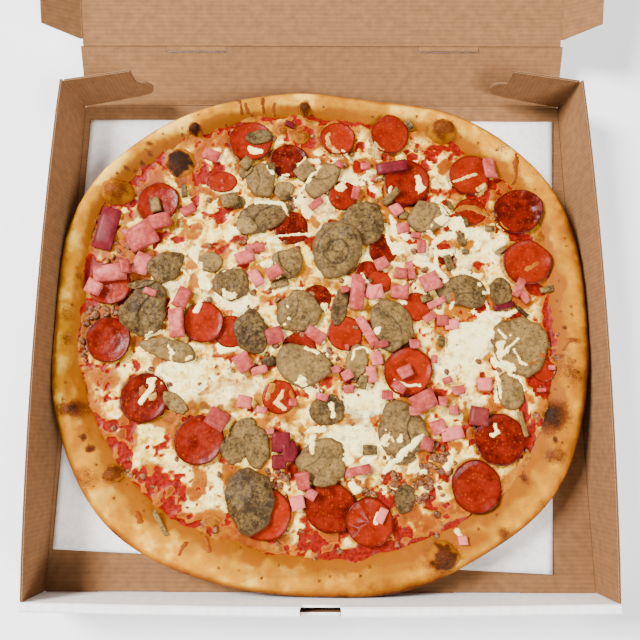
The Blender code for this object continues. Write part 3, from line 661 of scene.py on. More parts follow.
def make_piece(name: str, points: Any, faces: Any, finishes: Sequence[Material],
               body: str = "tray", paints: dict[str, Any] | None = None,
               smooth: bool = True) -> Object:
    """Make a mesh piece that rides on a body.

    Args:
        name: the piece's name.
        points: its vertices in the row frame.
        faces: its faces as vertex numbers.
        finishes: its materials.
        body: the CAD body that it rides on.
        paints: values for each vertex, by attribute name.
        smooth: whether its faces are shaded smooth.

    Returns:
        The piece.
    """
    mesh = bpy.data.meshes.new(name)
    mesh.from_pydata(np.asarray(points).tolist(), [], [list(face) for face in faces])
    for key, values in (paints or {}).items():
        paint = mesh.attributes.new(key, "FLOAT", "POINT")
        paint.data.foreach_set("value", np.asarray(values, np.float32).ravel())
    for finish in finishes:
        mesh.materials.append(finish)
    mesh.polygons.foreach_set("use_smooth", [smooth] * len(mesh.polygons))
    mesh.update()
    piece = placed(name, mesh)
    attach(piece, body)
    count = sum(len(face.vertices) - 2 for face in mesh.polygons)
    log.info("%s: %d triangles on %s", name, count, body)
    return piece


def tree_of(pieces: Iterable[Object]) -> BVHTree:
    """Return one search tree over the faces of several pieces."""
    points: list[Any] = []
    faces: list[Any] = []
    for piece in pieces:
        start = len(points)
        points += [vert.co[:] for vert in piece.data.vertices]
        faces += [[start + v for v in face.vertices] for face in piece.data.polygons]
    return BVHTree.FromPolygons(points, faces)


def top_at(tree: BVHTree, x: float, y: float, missing: float) -> float:
    """Return the height of what lies uppermost at a place."""
    hit = tree.ray_cast(Vector((x, y, 0.2)), Vector((0, 0, -1)))[0]
    return hit.z if hit else missing


def ring_faces(rings: int, spokes: int) -> list[tuple[int, ...]]:
    """Return the faces of a closed body of rings, whose two end points come last."""
    faces: list[tuple[int, ...]] = []
    low, high = rings * spokes, rings * spokes + 1
    for j in range(spokes):
        after = (j + 1) % spokes
        for i in range(rings - 1):
            a, b = i * spokes, (i + 1) * spokes
            faces.append((a + j, a + after, b + after, b + j))
        last = (rings - 1) * spokes
        faces.append((after, j, low))
        faces.append((last + j, last + after, high))
    return faces


def height_body(x: Array, y: Array, top: Array, bottom: Any, keep: Array
                ) -> tuple[Array, list[list[int]], Array]:
    """Return a closed body between two height fields over the cells that are kept.

    Args:
        x: places along X.
        y: places along Y.
        top: the upper heights.
        bottom: the lower heights, or one height for a flat underside that fans from the middle.
        keep: for each cell, whether it is part of the body.

    Returns:
        Points, faces, and the grid points that are used by the top, which come first.
    """
    index = np.arange(x.size).reshape(x.shape)
    quads = np.stack((index[:-1, :-1], index[1:, :-1], index[1:, 1:], index[:-1, 1:]), -1)[keep]
    used, inverse = np.unique(quads, return_inverse=True)
    quads = inverse.reshape(-1, 4)
    count = len(used)
    xs, ys = x.ravel()[used], y.ravel()[used]
    upper = np.stack((xs, ys, top.ravel()[used]), -1)
    edges = np.concatenate([quads[:, [0, 1]], quads[:, [1, 2]], quads[:, [2, 3]], quads[:, [3, 0]]])
    code = edges[:, 0].astype(np.int64) * count + edges[:, 1]
    back = edges[:, 1].astype(np.int64) * count + edges[:, 0]
    border = edges[~np.isin(code, back)]
    if np.ndim(bottom) == 0:
        ends, place = np.unique(border, return_inverse=True)
        a, b = place.reshape(-1, 2).T + count
        lower = np.column_stack((upper[ends, :2], np.full(len(ends), bottom)))
        middle = np.full(len(border), count + len(ends))
        points = np.concatenate([upper, lower, [[0, 0, bottom]]])
        hem = np.stack((border[:, 1], border[:, 0], a, b), -1)
        return points, quads.tolist() + hem.tolist() + np.stack((b, a, middle), -1).tolist(), used
    points = np.concatenate([upper, np.stack((xs, ys, bottom.ravel()[used]), -1)])
    hem = np.stack((border[:, 1], border[:, 0], border[:, 0] + count, border[:, 1] + count), -1)
    return points, np.concatenate([quads, quads[:, ::-1] + count, hem]).tolist(), used


# The board box


class Side(Enum):
    """What a face of a board panel shows."""

    KRAFT = 0
    WHITE = 1
    EDGE = 2


@dataclass(frozen=True)
class PanelPlan:
    """One panel of the box: its node, its body, and how it lies in the flat blank."""

    node: str
    body: str
    inside: tuple[float, float, float]
    across: tuple[float, float, float]
    along: tuple[float, float, float]
    rolled: bool = False


@dataclass
class BoardBox:
    """The corrugated box: panels of fine-fluted board, brown inside and white outside."""

    lid_angle: float = math.radians(18)
    back_angle: float = math.radians(32)
    flap_angle: float = math.radians(40)
    front_flap_angle: float = math.radians(50)
    lock_angle: float = math.radians(36)
    ear_angle: float = math.radians(84)
    roll_middle: float = -196.3 * MM
    crease_radius: float = 0.62 * MM
    back_fold: tuple[float, float] = (194.4 * MM, 1.6 * MM)
    lid_fold: tuple[float, float] = (233.834 * MM, 26.241 * MM)
    front_fold: tuple[float, float] = (597.613 * MM, 144.44 * MM)
    lock_fold: tuple[float, float] = (604.556 * MM, 146.696 * MM)

    def plans(self) -> list[PanelPlan]:
        """Return every panel with its inner normal and the blank's two directions."""
        def tilted(name: str, angle: float) -> PanelPlan:
            """Return a panel that rises at an angle as it goes back."""
            return PanelPlan(name, name, (0, -math.sin(angle), math.cos(angle)), (1, 0, 0),
                             (0, math.cos(angle), math.sin(angle)))

        lid = tilted("lid", self.lid_angle)
        plans = [
            PanelPlan("tray_floor", "tray", (0, 0, 1), (1, 0, 0), (0, 1, 0)),
            PanelPlan("side_wall_left", "tray", (1, 0, 0), (0, 0, 1), (0, 1, 0)),
            PanelPlan("side_wall_right", "tray", (-1, 0, 0), (0, 0, 1), (0, 1, 0)),
            PanelPlan("front_wall", "tray", (0, 1, 0), (1, 0, 0), (0, 0, 1), rolled=True),
            tilted("back_wall", self.back_angle), lid]
        for name, side in (("ear_left", -1), ("ear_right", 1)):
            run = (-side * math.sin(self.ear_angle), math.cos(self.ear_angle), 0)
            inside = (-side * run[1], -abs(run[0]), 0)
            plans.append(PanelPlan(name, name, inside, (0, 0, 1), run))
        up = Vector(lid.inside)
        for name, side in (("lid_flap_left", -1), ("lid_flap_right", 1)):
            out = Vector((side, 0, 0))
            inside = up * math.cos(self.flap_angle) - out * math.sin(self.flap_angle)
            run = out * math.cos(self.flap_angle) + up * math.sin(self.flap_angle)
            plans.append(PanelPlan(name, name, tuple(inside), tuple(run), lid.along))
        return plans + [tilted("lid_front_flap", self.front_flap_angle),
                        tilted("lid_lock", self.lock_angle)]

    def side_of(self, plan: PanelPlan, normal: Vector, middle: Vector) -> Side:
        """Return what a face shows, from its normal and, in the rolled wall, its place."""
        facing = normal.dot(Vector(plan.inside))
        if plan.rolled:
            if abs(normal.x) > 0.7:
                return Side.EDGE
            inward = (self.roll_middle - middle.y) * normal.y > 0
            return Side.KRAFT if inward and abs(normal.y) > 0.5 or normal.z < -0.5 else Side.WHITE
        if abs(facing) < 0.6:
            return Side.EDGE
        return Side.KRAFT if facing > 0 else Side.WHITE

    def dress(self, plan: PanelPlan, finishes: Sequence[Material]) -> None:
        """Build one panel from its CAD node, with the two liners and the cut edge.

        Args:
            plan: the panel.
            finishes: kraft liner, white liner and cut edge.
        """
        build = bmesh.new()
        build.from_mesh(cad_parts[plan.node].data)
        bmesh.ops.remove_doubles(build, verts=build.verts, dist=0.01 * MM)
        bmesh.ops.dissolve_limit(build, angle_limit=math.radians(0.4), verts=build.verts,
                                 edges=build.edges)
        bmesh.ops.triangulate(build, faces=[f for f in build.faces if len(f.verts) > 4])
        build.normal_update()
        across, along = Vector(plan.across), Vector(plan.along)
        sides = {face.index: self.side_of(plan, face.normal, face.calc_center_median())
                 for face in build.faces}
        inner = {vert for face in build.faces if sides[face.index] is Side.KRAFT
                 for vert in face.verts}
        board = build.loops.layers.uv.new("board")
        for face in build.faces:
            side = sides[face.index]
            face.material_index = side.value
            run = face.normal.cross(Vector(plan.inside)).normalized()
            fluted = abs(run.dot(along)) > 0.5
            for loop in face.loops:
                point = loop.vert.co
                if side is Side.EDGE:
                    loop[board].uv = (point.dot(along) if fluted else FLUTE / 4,
                                      1.0 if loop.vert in inner else 0.0)
                else:
                    loop[board].uv = (point.dot(across), point.dot(along))
        mesh = bpy.data.meshes.new(plan.node + "_board")
        build.to_mesh(mesh)
        build.free()
        for finish in finishes:
            mesh.materials.append(finish)
        panel = placed(plan.node + "_board", mesh)
        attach(panel, plan.body)
        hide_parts(plan.node)
        log.info("%s: %d faces", panel.name, len(mesh.polygons))

    def crease(self, name: str, body: str, start: Sequence[float], end: Sequence[float],
               finish: Material) -> None:
        """Build the pressed board along a fold line, which fills the gap between two panels.

        Args:
            name: the piece's name.
            body: the body that it rides on.
            start: one end of the fold line.
            end: the other end.
            finish: its material.
        """
        a, b = Vector(start), Vector(end)
        run = (b - a).normalized()
        side = run.cross(Vector((0.3, 0.5, 0.81))).normalized()
        spokes = 12
        blunt = 0.4 * MM
        rings = [(share, self.crease_radius) for share in (0.002, 0.25, 0.5, 0.75, 0.998)]
        rings = [(0, blunt), *rings, (1, blunt)]
        points = [list(a.lerp(b, share) + reach * (math.cos(turn) * side
                                                   + math.sin(turn) * run.cross(side)))
                  for share, reach in rings
                  for turn in np.linspace(0, 2 * math.pi, spokes, endpoint=False)]
        piece = make_piece(name, points + [list(a), list(b)], ring_faces(len(rings), spokes),
                           [finish], body)
        board = piece.data.uv_layers.new(name="board")
        across = Vector((1, 0, 0)) if abs(run.x) > 0.5 else Vector((0, 1, 0))
        for loop in piece.data.loops:
            point = piece.data.vertices[loop.vertex_index].co
            board.data[loop.index].uv = (point.dot(across), point.z)

    def fold_lines(self) -> list[tuple[str, str, Sequence[float], Sequence[float]]]:
        """Return each fold line as its strip's name, its body and its two ends."""
        def level(name: str, body: str, low: float, high: float, fold: tuple[float, float]) -> Any:
            """Return a fold line that runs along X from low to high, in mm."""
            return name, body, (low * MM, *fold), (high * MM, *fold)

        lines = [level("crease_back_wall", "tray", -197, 197, self.back_fold),
                 level("crease_lid", "back_wall", -196, 196, self.lid_fold)]
        run_y, run_z = math.cos(self.lid_angle), math.sin(self.lid_angle)
        for label, side in (("left", -1), ("right", 1)):
            lines.append((f"crease_ear_{label}", "tray", (side * 200 * MM, 192 * MM, 2 * MM),
                          (side * 203.2 * MM, 192 * MM, 41 * MM)))
            near, far = [(side * 196.8 * MM, self.lid_fold[0] + reach * run_y,
                          self.lid_fold[1] + reach * run_z) for reach in (5 * MM, 368 * MM)]
            lines.append((f"crease_lid_flap_{label}", "lid", near, far))
        for label, low, high in (("left", -186, -13.6), ("right", 13.6, 186)):
            lines.append(level(f"crease_front_flap_{label}", "lid", low, high, self.front_fold))
        lines.append(level("crease_lock", "lid", -10.8, 10.8, self.lock_fold))
        return lines

    def build(self) -> None:
        """Build every panel and the creases between them."""
        finishes = [KraftLiner().build(), WhiteLiner().build(), CutBoardEdge().build()]
        for plan in self.plans():
            self.dress(plan, finishes)
        for name, body, start, end in self.fold_lines():
            self.crease(name, body, start, end, finishes[0])


@dataclass
class PaperSheet:
    """The greaseproof sheet on the floor, with soft ripples where the dough doesn't press it."""

    cells: int = 90
    ripple: float = 0.9 * MM
    rest: float = 2.0 * MM
    thickness: float = 0.12 * MM

    def build(self, dough: "Dough") -> None:
        """Build the sheet between its node's four corners.

        Args:
            dough: gives where the pizza presses the sheet flat.
        """
        corners = ((-196.5, -163.5), (169, -180), (194, 179), (-194, 180))
        (x00, y00), (x10, y10), (x11, y11), (x01, y01) = [(x * MM, y * MM) for x, y in corners]
        share = np.linspace(0, 1, self.cells + 1)
        u, v = np.meshgrid(share, share, indexing="ij")
        x = (1 - u) * (1 - v) * x00 + u * (1 - v) * x10 + u * v * x11 + (1 - u) * v * x01
        y = (1 - u) * (1 - v) * y00 + u * (1 - v) * y10 + u * v * y11 + (1 - u) * v * y01
        noise = Noise(5)
        free = smoothstep(-6 * MM, 10 * MM, np.hypot(x, y) - dough.radius(np.arctan2(y, x)))
        lift = 0.5 + 0.5 * noise.fractal(x, y, 34 * MM, 3)
        top = self.rest + 0.25 * MM + free * self.ripple * lift
        every = np.full((self.cells, self.cells), True)
        points, faces, _ = height_body(x, y, top, top - self.thickness, every)
        sheet = make_piece("greaseproof_sheet", points, faces, [GreasePaper().build()])
        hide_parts("paper_liner")


# The pizza


class Row:
    """A thing that is written as one row of a table."""

    @classmethod
    def table(cls, *rows: Sequence[Any]) -> tuple[Any, ...]:
        """Return one thing for each row of its fields' values."""
        return tuple(cls(*row) for row in rows)


@dataclass(frozen=True)
class Spot(Row):
    """A painted spot: its place and half-size in photo pixels, its turn and its strength."""

    px: float
    py: float
    half_x: float
    half_y: float
    turn: float = 0.0
    strength: float = 1.0


class Patch:
    """A painter of spots with uneven borders over arrays of places."""

    def __init__(self, seed: int, wander: float = 2.2 * MM, height: float = 19.5 * MM) -> None:
        """Set the noise that bends the borders and the height that the spots lie at."""
        self.noise = Noise(seed)
        self.wander = wander
        self.height = height

    def paint(self, x: Array, y: Array, spots: Sequence[Spot], soft: float = 0.35) -> Array:
        """Return how strongly any of the spots covers each place.

        Args:
            x: places along X.
            y: places along Y.
            spots: the spots.
            soft: the width of their borders as a share of their size.

        Returns:
            Values from 0 to 1.
        """
        x = x + self.wander * self.noise.fractal(x, y, 9 * MM, 3)
        y = y + self.wander * self.noise.fractal(x + 0.5, y, 9 * MM, 3)
        total = np.zeros_like(x)
        for spot in spots:
            cx, cy = CAMERA.spot(spot.px, spot.py, self.height)
            turn = math.radians(spot.turn)
            u = (x - cx) * math.cos(turn) + (y - cy) * math.sin(turn)
            v = (y - cy) * math.cos(turn) - (x - cx) * math.sin(turn)
            away = np.hypot(u / (spot.half_x * PX), v / (spot.half_y * PX))
            total = np.maximum(total, spot.strength * smoothstep(1 + soft, 1 - soft, away))
        return total


@dataclass
class Dough:
    """The baked base: a swollen, uneven rim round the recess that holds the cheese."""

    spokes: int = 900
    mean: float = 204.0 * MM
    side_limit: float = 202.0 * MM
    bottom: float = 2.7 * MM
    recess: float = 13.0 * MM
    widest: float = 19.5 * MM
    top: float = 25.0 * MM
    inner_top: float = 17.2 * MM
    waves: tuple[tuple[float, int, float], ...] = (
        (1.9, 1, 114), (6.2, 2, 2.4), (1.8, 3, 25), (6.1, 4, 44), (1.5, 6, -24.6), (0.7, 8, 14),
        (0.7, 11, -5.7))
    rim_widths: tuple[tuple[float, float], ...] = (
        (0, 26), (45, 24), (90, 18), (135, 18), (180, 19), (225, 33), (270, 25), (315, 28))
    blisters: tuple[tuple[float, float, float, float], ...] = (
        (-114, 134, 13, 6), (-161, 109, 12, 4), (97, 160, 12, 5), (168, -66, 13, 3.2),
        (171, -94, 9, 2), (86, -167, 11, 5), (185, -40, 10, 3), (-182, -63, 11, 4),
        (-102, 162, 6, 2), (145, 145, 7, 2.5), (130, -149, 6, 2))
    chars: tuple[Spot, ...] = Spot.table(
        (178, 161, 16, 15), (117, 191, 16, 11, 12, 0.62), (195, 129, 6.5, 6, 0, 0.95),
        (305, 109, 6, 6.5, 0, 0.95), (443, 131, 15, 11, -20, 0.6), (437, 131, 6, 7, 30),
        (502.7, 149, 8, 5, 0, 0.35), (570, 371, 12, 16, 20, 0.45), (551, 415, 17, 15),
        (555, 454, 11, 10, 0, 0.5), (525, 475, 5, 11, 15, 0.7), (443, 558, 15, 14, 0, 0.85),
        (504, 533, 6, 6, 0, 0.55), (546, 509, 5, 9, 30, 0.4), (74, 409, 16, 9, 0, 0.75),
        (86, 479, 12, 9, -50, 0.42), (114, 474, 10, 9, 0, 0.6), (149.6, 144, 4, 2.5, 0, 0.6),
        (149, 151, 3, 3, 0, 0.6), (141, 161, 3, 3, 0, 0.7), (125, 168, 3.5, 2.5, -30, 0.6),
        (134, 168, 3, 2, 20, 0.5), (83, 437, 2.5, 3.5, 0, 0.9), (90, 448, 4, 4, 0, 0.9),
        (565, 327, 2, 2, 0, 0.9), (575, 341, 8, 2.5, -8, 0.6), (561, 356, 5, 3, 0, 0.6),
        (577, 373, 3, 2, 0, 0.9), (557, 440, 2, 3, 0, 0.9), (67, 312, 5, 9, 0, 0.4),
        (66, 340, 4, 8, 0, 0.45), (78, 275, 3, 4, 0, 0.45), (262, 578, 1.5, 1.5),
        (330, 573, 14, 6, 0, 0.22), (422, 559, 12, 10, 0, 0.2), (60, 430, 8, 22, 0, 0.2))
    oils: tuple[Spot, ...] = Spot.table(
        (150, 160, 20, 9, 35, 0.9), (118, 205, 22, 8, 50, 0.9), (75, 300, 6, 60, 0, 0.9),
        (70, 370, 7, 50, 0, 0.9), (82, 435, 9, 26, -25, 0.9), (112, 490, 10, 30, -40, 0.7),
        (240, 104, 20, 7, 10, 0.7), (350, 112, 40, 6, 0, 0.9), (300, 112, 12, 9, 0, 0.8),
        (445, 135, 20, 16, 0, 0.7), (471, 152, 12, 7, -20, 0.8), (516, 170, 5, 15, 5, 0.9),
        (530, 185, 8, 12, -40, 0.6), (560, 300, 10, 40, 0, 0.75), (564, 350, 10, 30, 0, 0.7),
        (552, 415, 20, 19, 0, 0.9), (540, 460, 12, 20, 20, 0.9), (500, 505, 22, 9, 35, 0.8),
        (470, 540, 26, 12, 15), (400, 566, 40, 8, 8, 0.9), (290, 572, 60, 7, 0, 0.8),
        (225, 552, 26, 8, -14, 0.8), (190, 535, 20, 6, -25, 0.6), (148, 508, 12, 10, -40, 0.8),
        (140, 180, 18, 6, 45, 0.6), (180, 145, 24, 8, 30, 0.7))

    def radius(self, turn: Any) -> Any:
        """Return the outline's radius at an angle."""
        radius = np.full(np.shape(turn), self.mean)
        for amplitude, waves, peak in self.waves:
            radius = radius + amplitude * MM * np.cos(waves * (turn - math.radians(peak)))
        side = np.abs(np.cos(turn))
        limit = self.side_limit / np.maximum(side, 0.5)
        return np.where(side > 0.5, np.minimum(radius, limit), radius)

    def rim_width(self, turn: Any) -> Any:
        """Return the width of the bare rim at an angle."""
        angles, widths = zip(*self.rim_widths)
        degrees = np.degrees(turn) % 360
        return MM * (np.interp(degrees, angles, widths, period=360) + 1.2 * np.sin(9 * turn))

    def edge(self, turn: Any) -> Any:
        """Return the radius at which the cheese meets the rim."""
        return self.radius(turn) - self.rim_width(turn) - 0.6 * MM

    def section(self, turn: Array) -> tuple[Array, Array]:
        """Return the rim's sections as radii and heights, smoothed between their main points.

        Args:
            turn: the angles of the sections.

        Returns:
            Radii and heights with a row for each station of the section.
        """
        radius, width = self.radius(turn), self.rim_width(turn)
        lump = 0.9 * np.sin(3 * turn + 1) + 0.8 * np.sin(7 * turn + 2) + 0.6 * np.sin(13 * turn)
        top = self.top + MM * lump
        flat = np.zeros_like(turn)
        main = ((radius - 17 * MM, flat + self.bottom),
                (radius - 8 * MM, flat + self.bottom + 1.6 * MM),
                (radius - 2.6 * MM, flat + 9 * MM), (radius - 0.5 * MM, flat + 15 * MM),
                (radius, flat + self.widest), (radius - 0.11 * width, top - 2.2 * MM),
                (radius - 0.28 * width, top), (radius - 0.5 * width, top - 0.6 * MM),
                (radius - 0.76 * width, top - 3.4 * MM), (radius - width, flat + self.inner_top),
                (radius - width - 3 * MM, flat + self.recess))
        radii, heights = (np.array(part) for part in zip(*main))
        fine = []
        counts = (2, 3, 4, 4, 6, 9, 10, 12, 10, 3)
        for i, count in enumerate(counts):
            ends = [max(i - 1, 0), i, i + 1, min(i + 2, len(main) - 1)]
            for t in np.linspace(0, 1, count, endpoint=False):
                weights = (0.5 * (-t + 2 * t * t - t ** 3), 0.5 * (2 - 5 * t * t + 3 * t ** 3),
                           0.5 * (t + 4 * t * t - 3 * t ** 3), 0.5 * (t ** 3 - t * t))
                fine.append((sum(w * radii[e] for w, e in zip(weights, ends)),
                             sum(w * heights[e] for w, e in zip(weights, ends))))
        fine.append((radii[-1], heights[-1]))
        smooth_radii, smooth_heights = zip(*fine)
        return np.array(smooth_radii), np.array(smooth_heights)

    def relief(self, x: Array, y: Array, turn: Array) -> Array:
        """Return the blisters, lumps and fine roughness of the rim at each place."""
        rise = np.zeros_like(x)
        for bx, by, radius, height in self.blisters:
            square = ((x / MM - bx) ** 2 + (y / MM - by) ** 2) / (0.62 * radius) ** 2
            rise += height * MM * np.exp(-square)
        noise = Noise(11)
        arc = turn * self.mean
        reach = np.hypot(x, y)
        rise += 0.55 * MM * noise.fractal(arc, reach, 19 * MM, 3)
        rise += 0.16 * MM * noise.fractal(arc + 0.7, reach, 3.0 * MM, 3)
        pebble, mark = noise.pebbles(x, y, 9 * MM)
        rise += np.where(mark > 0.72, 0.7 * MM * smoothstep(0.42, 0.1, pebble), 0)
        return rise

    def build(self) -> Object:
        """Build the dough with its bake, oil and char painted on it."""
        turn = np.linspace(0, 2 * math.pi, self.spokes, endpoint=False)
        radii, heights = self.section(turn)
        grid = np.broadcast_to(turn, radii.shape)
        x, y = radii * np.cos(grid), radii * np.sin(grid)
        count = len(radii)
        share = np.linspace(0, 1, count)[:, None]
        skin = smoothstep(0.14, 0.34, share) * smoothstep(1.0, 0.93, share)
        heights = heights + skin * self.relief(x, y, grid)
        patch = Patch(21, 1.6 * MM, 24 * MM)
        rim = (self.radius(grid) - radii) / self.rim_width(grid)
        noise = Noise(31)
        arc = grid * self.mean
        pale = noise.fractal(arc, np.hypot(x, y), 26 * MM, 4)
        mottle = noise.fractal(x + 0.3, y, 9 * MM, 4)
        bake = 0.2 - 0.5 * pale - 0.3 * mottle + 0.62 * smoothstep(0.2, -0.02, rim)
        bake += 0.25 * smoothstep(20 * MM, 10 * MM, heights)
        # Painted shade: the rim is painted deeper gold towards the lower right, where the fill light
        # falls.
        bake += 0.26 * smoothstep(-0.05, 0.2, 0.9 * x - 0.6 * y)
        oil = smoothstep(0.42, 0.8, rim + 0.3 * noise.fractal(x, y, 12 * MM, 4))
        oil = np.maximum(oil, patch.paint(x, y, self.oils, 0.6))
        char = patch.paint(x, y, self.chars, 0.8)
        freckle, mark = noise.pebbles(x, y, 7 * MM)
        char = np.maximum(char, np.where((mark > 0.84) & (rim > 0.3),
                                         0.55 * smoothstep(0.3, 0.05, freckle), 0))
        points = np.concatenate([np.stack((x, y, heights), -1).reshape(-1, 3),
                                 [[0, 0, self.bottom], [0, 0, self.recess]]])
        paints = {"bake": bake, "oil": oil, "char": char}
        paints = {key: np.append(np.clip(value, 0, 1).ravel(), [0.5, 0.5])
                  for key, value in paints.items()}
        dough = make_piece("dough", points, ring_faces(count, self.spokes),
                           [BakedDough().build()], paints=paints)
        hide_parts("crust")
        return dough


@dataclass
class CheeseBed:
    """The cheese and sauce between the rim and the slices."""

    half: float = 192 * MM
    step: float = 1.15 * MM
    height: float = 17.6 * MM
    floor: float = 13.6 * MM
    melts: tuple[Spot, ...] = Spot.table(
        (180, 378, 34, 20, -12), (232, 300, 28, 14, -18), (470, 342, 27, 27), (448, 366, 16, 13),
        (365, 402, 26, 20), (355, 438, 32, 15), (226, 345, 14, 10), (232, 388, 30, 18, 10, 0.7),
        (215, 155, 18, 12, 0, 0.5), (320, 205, 16, 14, 0, 0.6), (470, 250, 30, 22, 0, 0.7),
        (440, 190, 26, 14, 0, 0.6), (200, 255, 16, 12, 0, 0.8), (425, 255, 26, 12, 0, 0.8),
        (460, 272, 26, 10, 0, 0.8), (420, 370, 20, 30, 0, 0.6), (490, 320, 14, 14),
        (190, 470, 26, 16, 0, 0.55), (215, 490, 14, 22, 0, 0.6), (165, 430, 20, 10, 0, 0.5),
        (465, 405, 18, 14, 0, 0.6), (345, 185, 24, 22, 0, 0.7), (280, 205, 18, 8, 0, 0.8),
        (350, 480, 10, 10, 0, 0.5), (308, 523, 10, 14, 20, 0.7), (115, 370, 16, 10, 0, 0.5),
        (165, 285, 14, 10, 0, 0.7), (175, 232, 14, 10, 0, 0.6))
    sauces: tuple[Spot, ...] = Spot.table(
        (549, 312, 6, 18, -6), (552, 330, 4, 16), (539, 377, 12, 9, 25), (548, 388, 7, 12),
        (524, 407, 4, 16, 6), (530, 436, 5, 16, -20), (535, 287, 12, 8, -40, 0.8),
        (350, 556, 32, 6, 4), (384, 550, 22, 8, 8), (430, 540, 24, 4, 14, 0.9),
        (470, 524, 26, 7, 8), (501, 515, 11, 8, 10), (283, 561, 14, 5, -4), (264, 557, 9, 4),
        (335, 560, 18, 6), (92, 421, 9, 9), (110, 426, 8, 5), (103, 452, 9, 9), (111, 442, 7, 5),
        (121, 448, 5, 8), (127, 467, 4, 5), (130, 491, 8, 10), (140, 501, 9, 7),
        (165, 513, 7, 17, -30), (178, 525, 12, 4, -25), (196, 524, 14, 3.5, 14), (88, 264, 6, 12),
        (80, 300, 4, 22), (87, 305, 10, 8), (77, 322, 3.5, 26), (77, 386, 5, 16),
        (324, 116, 22, 3.5, -4), (356, 121, 18, 4, -8), (230, 124, 15, 4, 8),
        (274, 116, 16, 4, 5, 0.8), (207, 131, 5, 7), (441, 147, 16, 3), (458, 151, 6, 5, 0, 0.8),
        (493, 184, 8, 7, 0, 0.6), (526, 238, 9, 7, -30), (535, 250, 8, 6, 0, 0.7),
        (100, 325, 12, 8, 0, 0.6), (222, 243, 6, 4, 0, 0.5), (330, 238, 6, 14, 20, 0.6),
        (443, 246, 8, 5, 0, 0.8), (452, 265, 5, 9, 0, 0.7), (412, 240, 8, 5, 0, 0.7),
        (415, 312, 6, 10, 0, 0.7), (347, 376, 6, 10, 0, 0.5), (292, 472, 10, 9, 0, 0.6),
        (300, 455, 6, 10, 0, 0.6), (280, 405, 8, 12, 0, 0.6), (205, 245, 5, 4, 0, 0.5),
        (440, 322, 5, 5, 0, 0.6), (472, 358, 5, 3, -30, 0.5), (117, 262, 10, 8, 0, 0.5),
        (158, 470, 5, 4, 0, 0.6), (162, 478, 8, 4, 0, 0.6), (500, 400, 8, 5, 0, 0.5),
        (350, 530, 16, 5, 0, 0.7), (395, 528, 8, 6, 0, 0.6))
    fats: tuple[Spot, ...] = Spot.table(
        (104, 378, 16, 11, 0, 0.8), (173, 492, 14, 9, 20, 0.9), (152, 487, 10, 8, 0, 0.9),
        (210, 521, 16, 10, 0, 0.9), (238, 546, 22, 8, -15), (180, 541, 18, 7, -20, 0.9),
        (106, 433, 9, 7, 0, 0.8), (130, 440, 8, 12, 0, 0.7), (150, 470, 10, 8, 0, 0.6),
        (300, 132, 18, 13, 0, 0.9), (281, 128, 11, 8, 0, 0.8), (320, 128, 10, 6, 0, 0.8),
        (240, 112, 16, 5, 8, 0.9), (215, 132, 12, 8, 0, 0.7), (345, 130, 14, 8, 0, 0.4),
        (388, 140, 18, 10, 0, 0.35), (430, 150, 10, 8, 0, 0.5), (470, 155, 14, 7, -20, 0.8),
        (500, 195, 12, 8, 0, 0.6), (455, 197, 20, 6, -15, 0.5), (545, 275, 10, 10, 0, 0.8),
        (552, 300, 8, 22, 0, 0.7), (118, 234, 12, 9, 20, 0.9), (105, 250, 8, 10, 0, 0.8),
        (130, 215, 10, 6, 30, 0.7), (158, 185, 9, 8, 0, 0.6), (275, 540, 14, 8, 0, 0.8),
        (300, 550, 14, 7, 30, 0.6), (412, 540, 12, 7, 0, 0.8), (432, 505, 10, 8, 0, 0.5),
        (275, 390, 12, 14, 0, 0.5), (235, 405, 8, 8, 0, 0.5), (490, 470, 10, 8, 0, 0.4),
        (155, 385, 8, 8, 0, 0.3), (190, 455, 10, 6, 0, 0.3), (440, 345, 5, 8, 0, 0.6),
        (390, 395, 6, 5, 0, 0.6), (425, 412, 5, 5, 0, 0.5), (253, 350, 6, 5, 0, 0.5))
    toasts: tuple[Spot, ...] = Spot.table(
        (301, 134, 9, 9, 0, 0.6), (282, 128, 6, 5, 0, 0.7), (303, 137, 3, 4, 0, 0.9),
        (311, 120, 7, 4.5, 0, 0.75), (371, 136, 6, 5, 0, 0.6), (383, 149, 5, 5, 0, 0.5),
        (495, 188, 7, 5, 0, 0.8), (494, 214, 5, 5, 0, 0.4), (173, 490, 10, 6, 20, 0.5),
        (208, 522, 12, 6, 0, 0.5), (180, 500, 7, 9, 0, 0.5), (327, 138, 4, 5, 0, 0.7),
        (150, 372, 4, 4, 0, 0.3), (213, 128, 4, 8, 20, 0.5), (300, 545, 6, 4, 40, 0.5),
        (402, 546, 6, 5, 0, 0.5), (160, 467, 5, 5, 0, 0.6), (125, 478, 5, 5, 0, 0.5),
        (442, 340, 4, 8, 0, 0.6), (108, 385, 5, 6, 0, 0.3))

    def slow(self, x: Any, y: Any) -> Any:
        """Return the slow rise and fall that the CAD cheese has too."""
        u, v = x / MM, y / MM
        return MM * (0.7 * np.sin(u / 17 + 1) * np.sin(v / 21 + 2) + 0.5 * np.sin(u / 31 - v / 26))

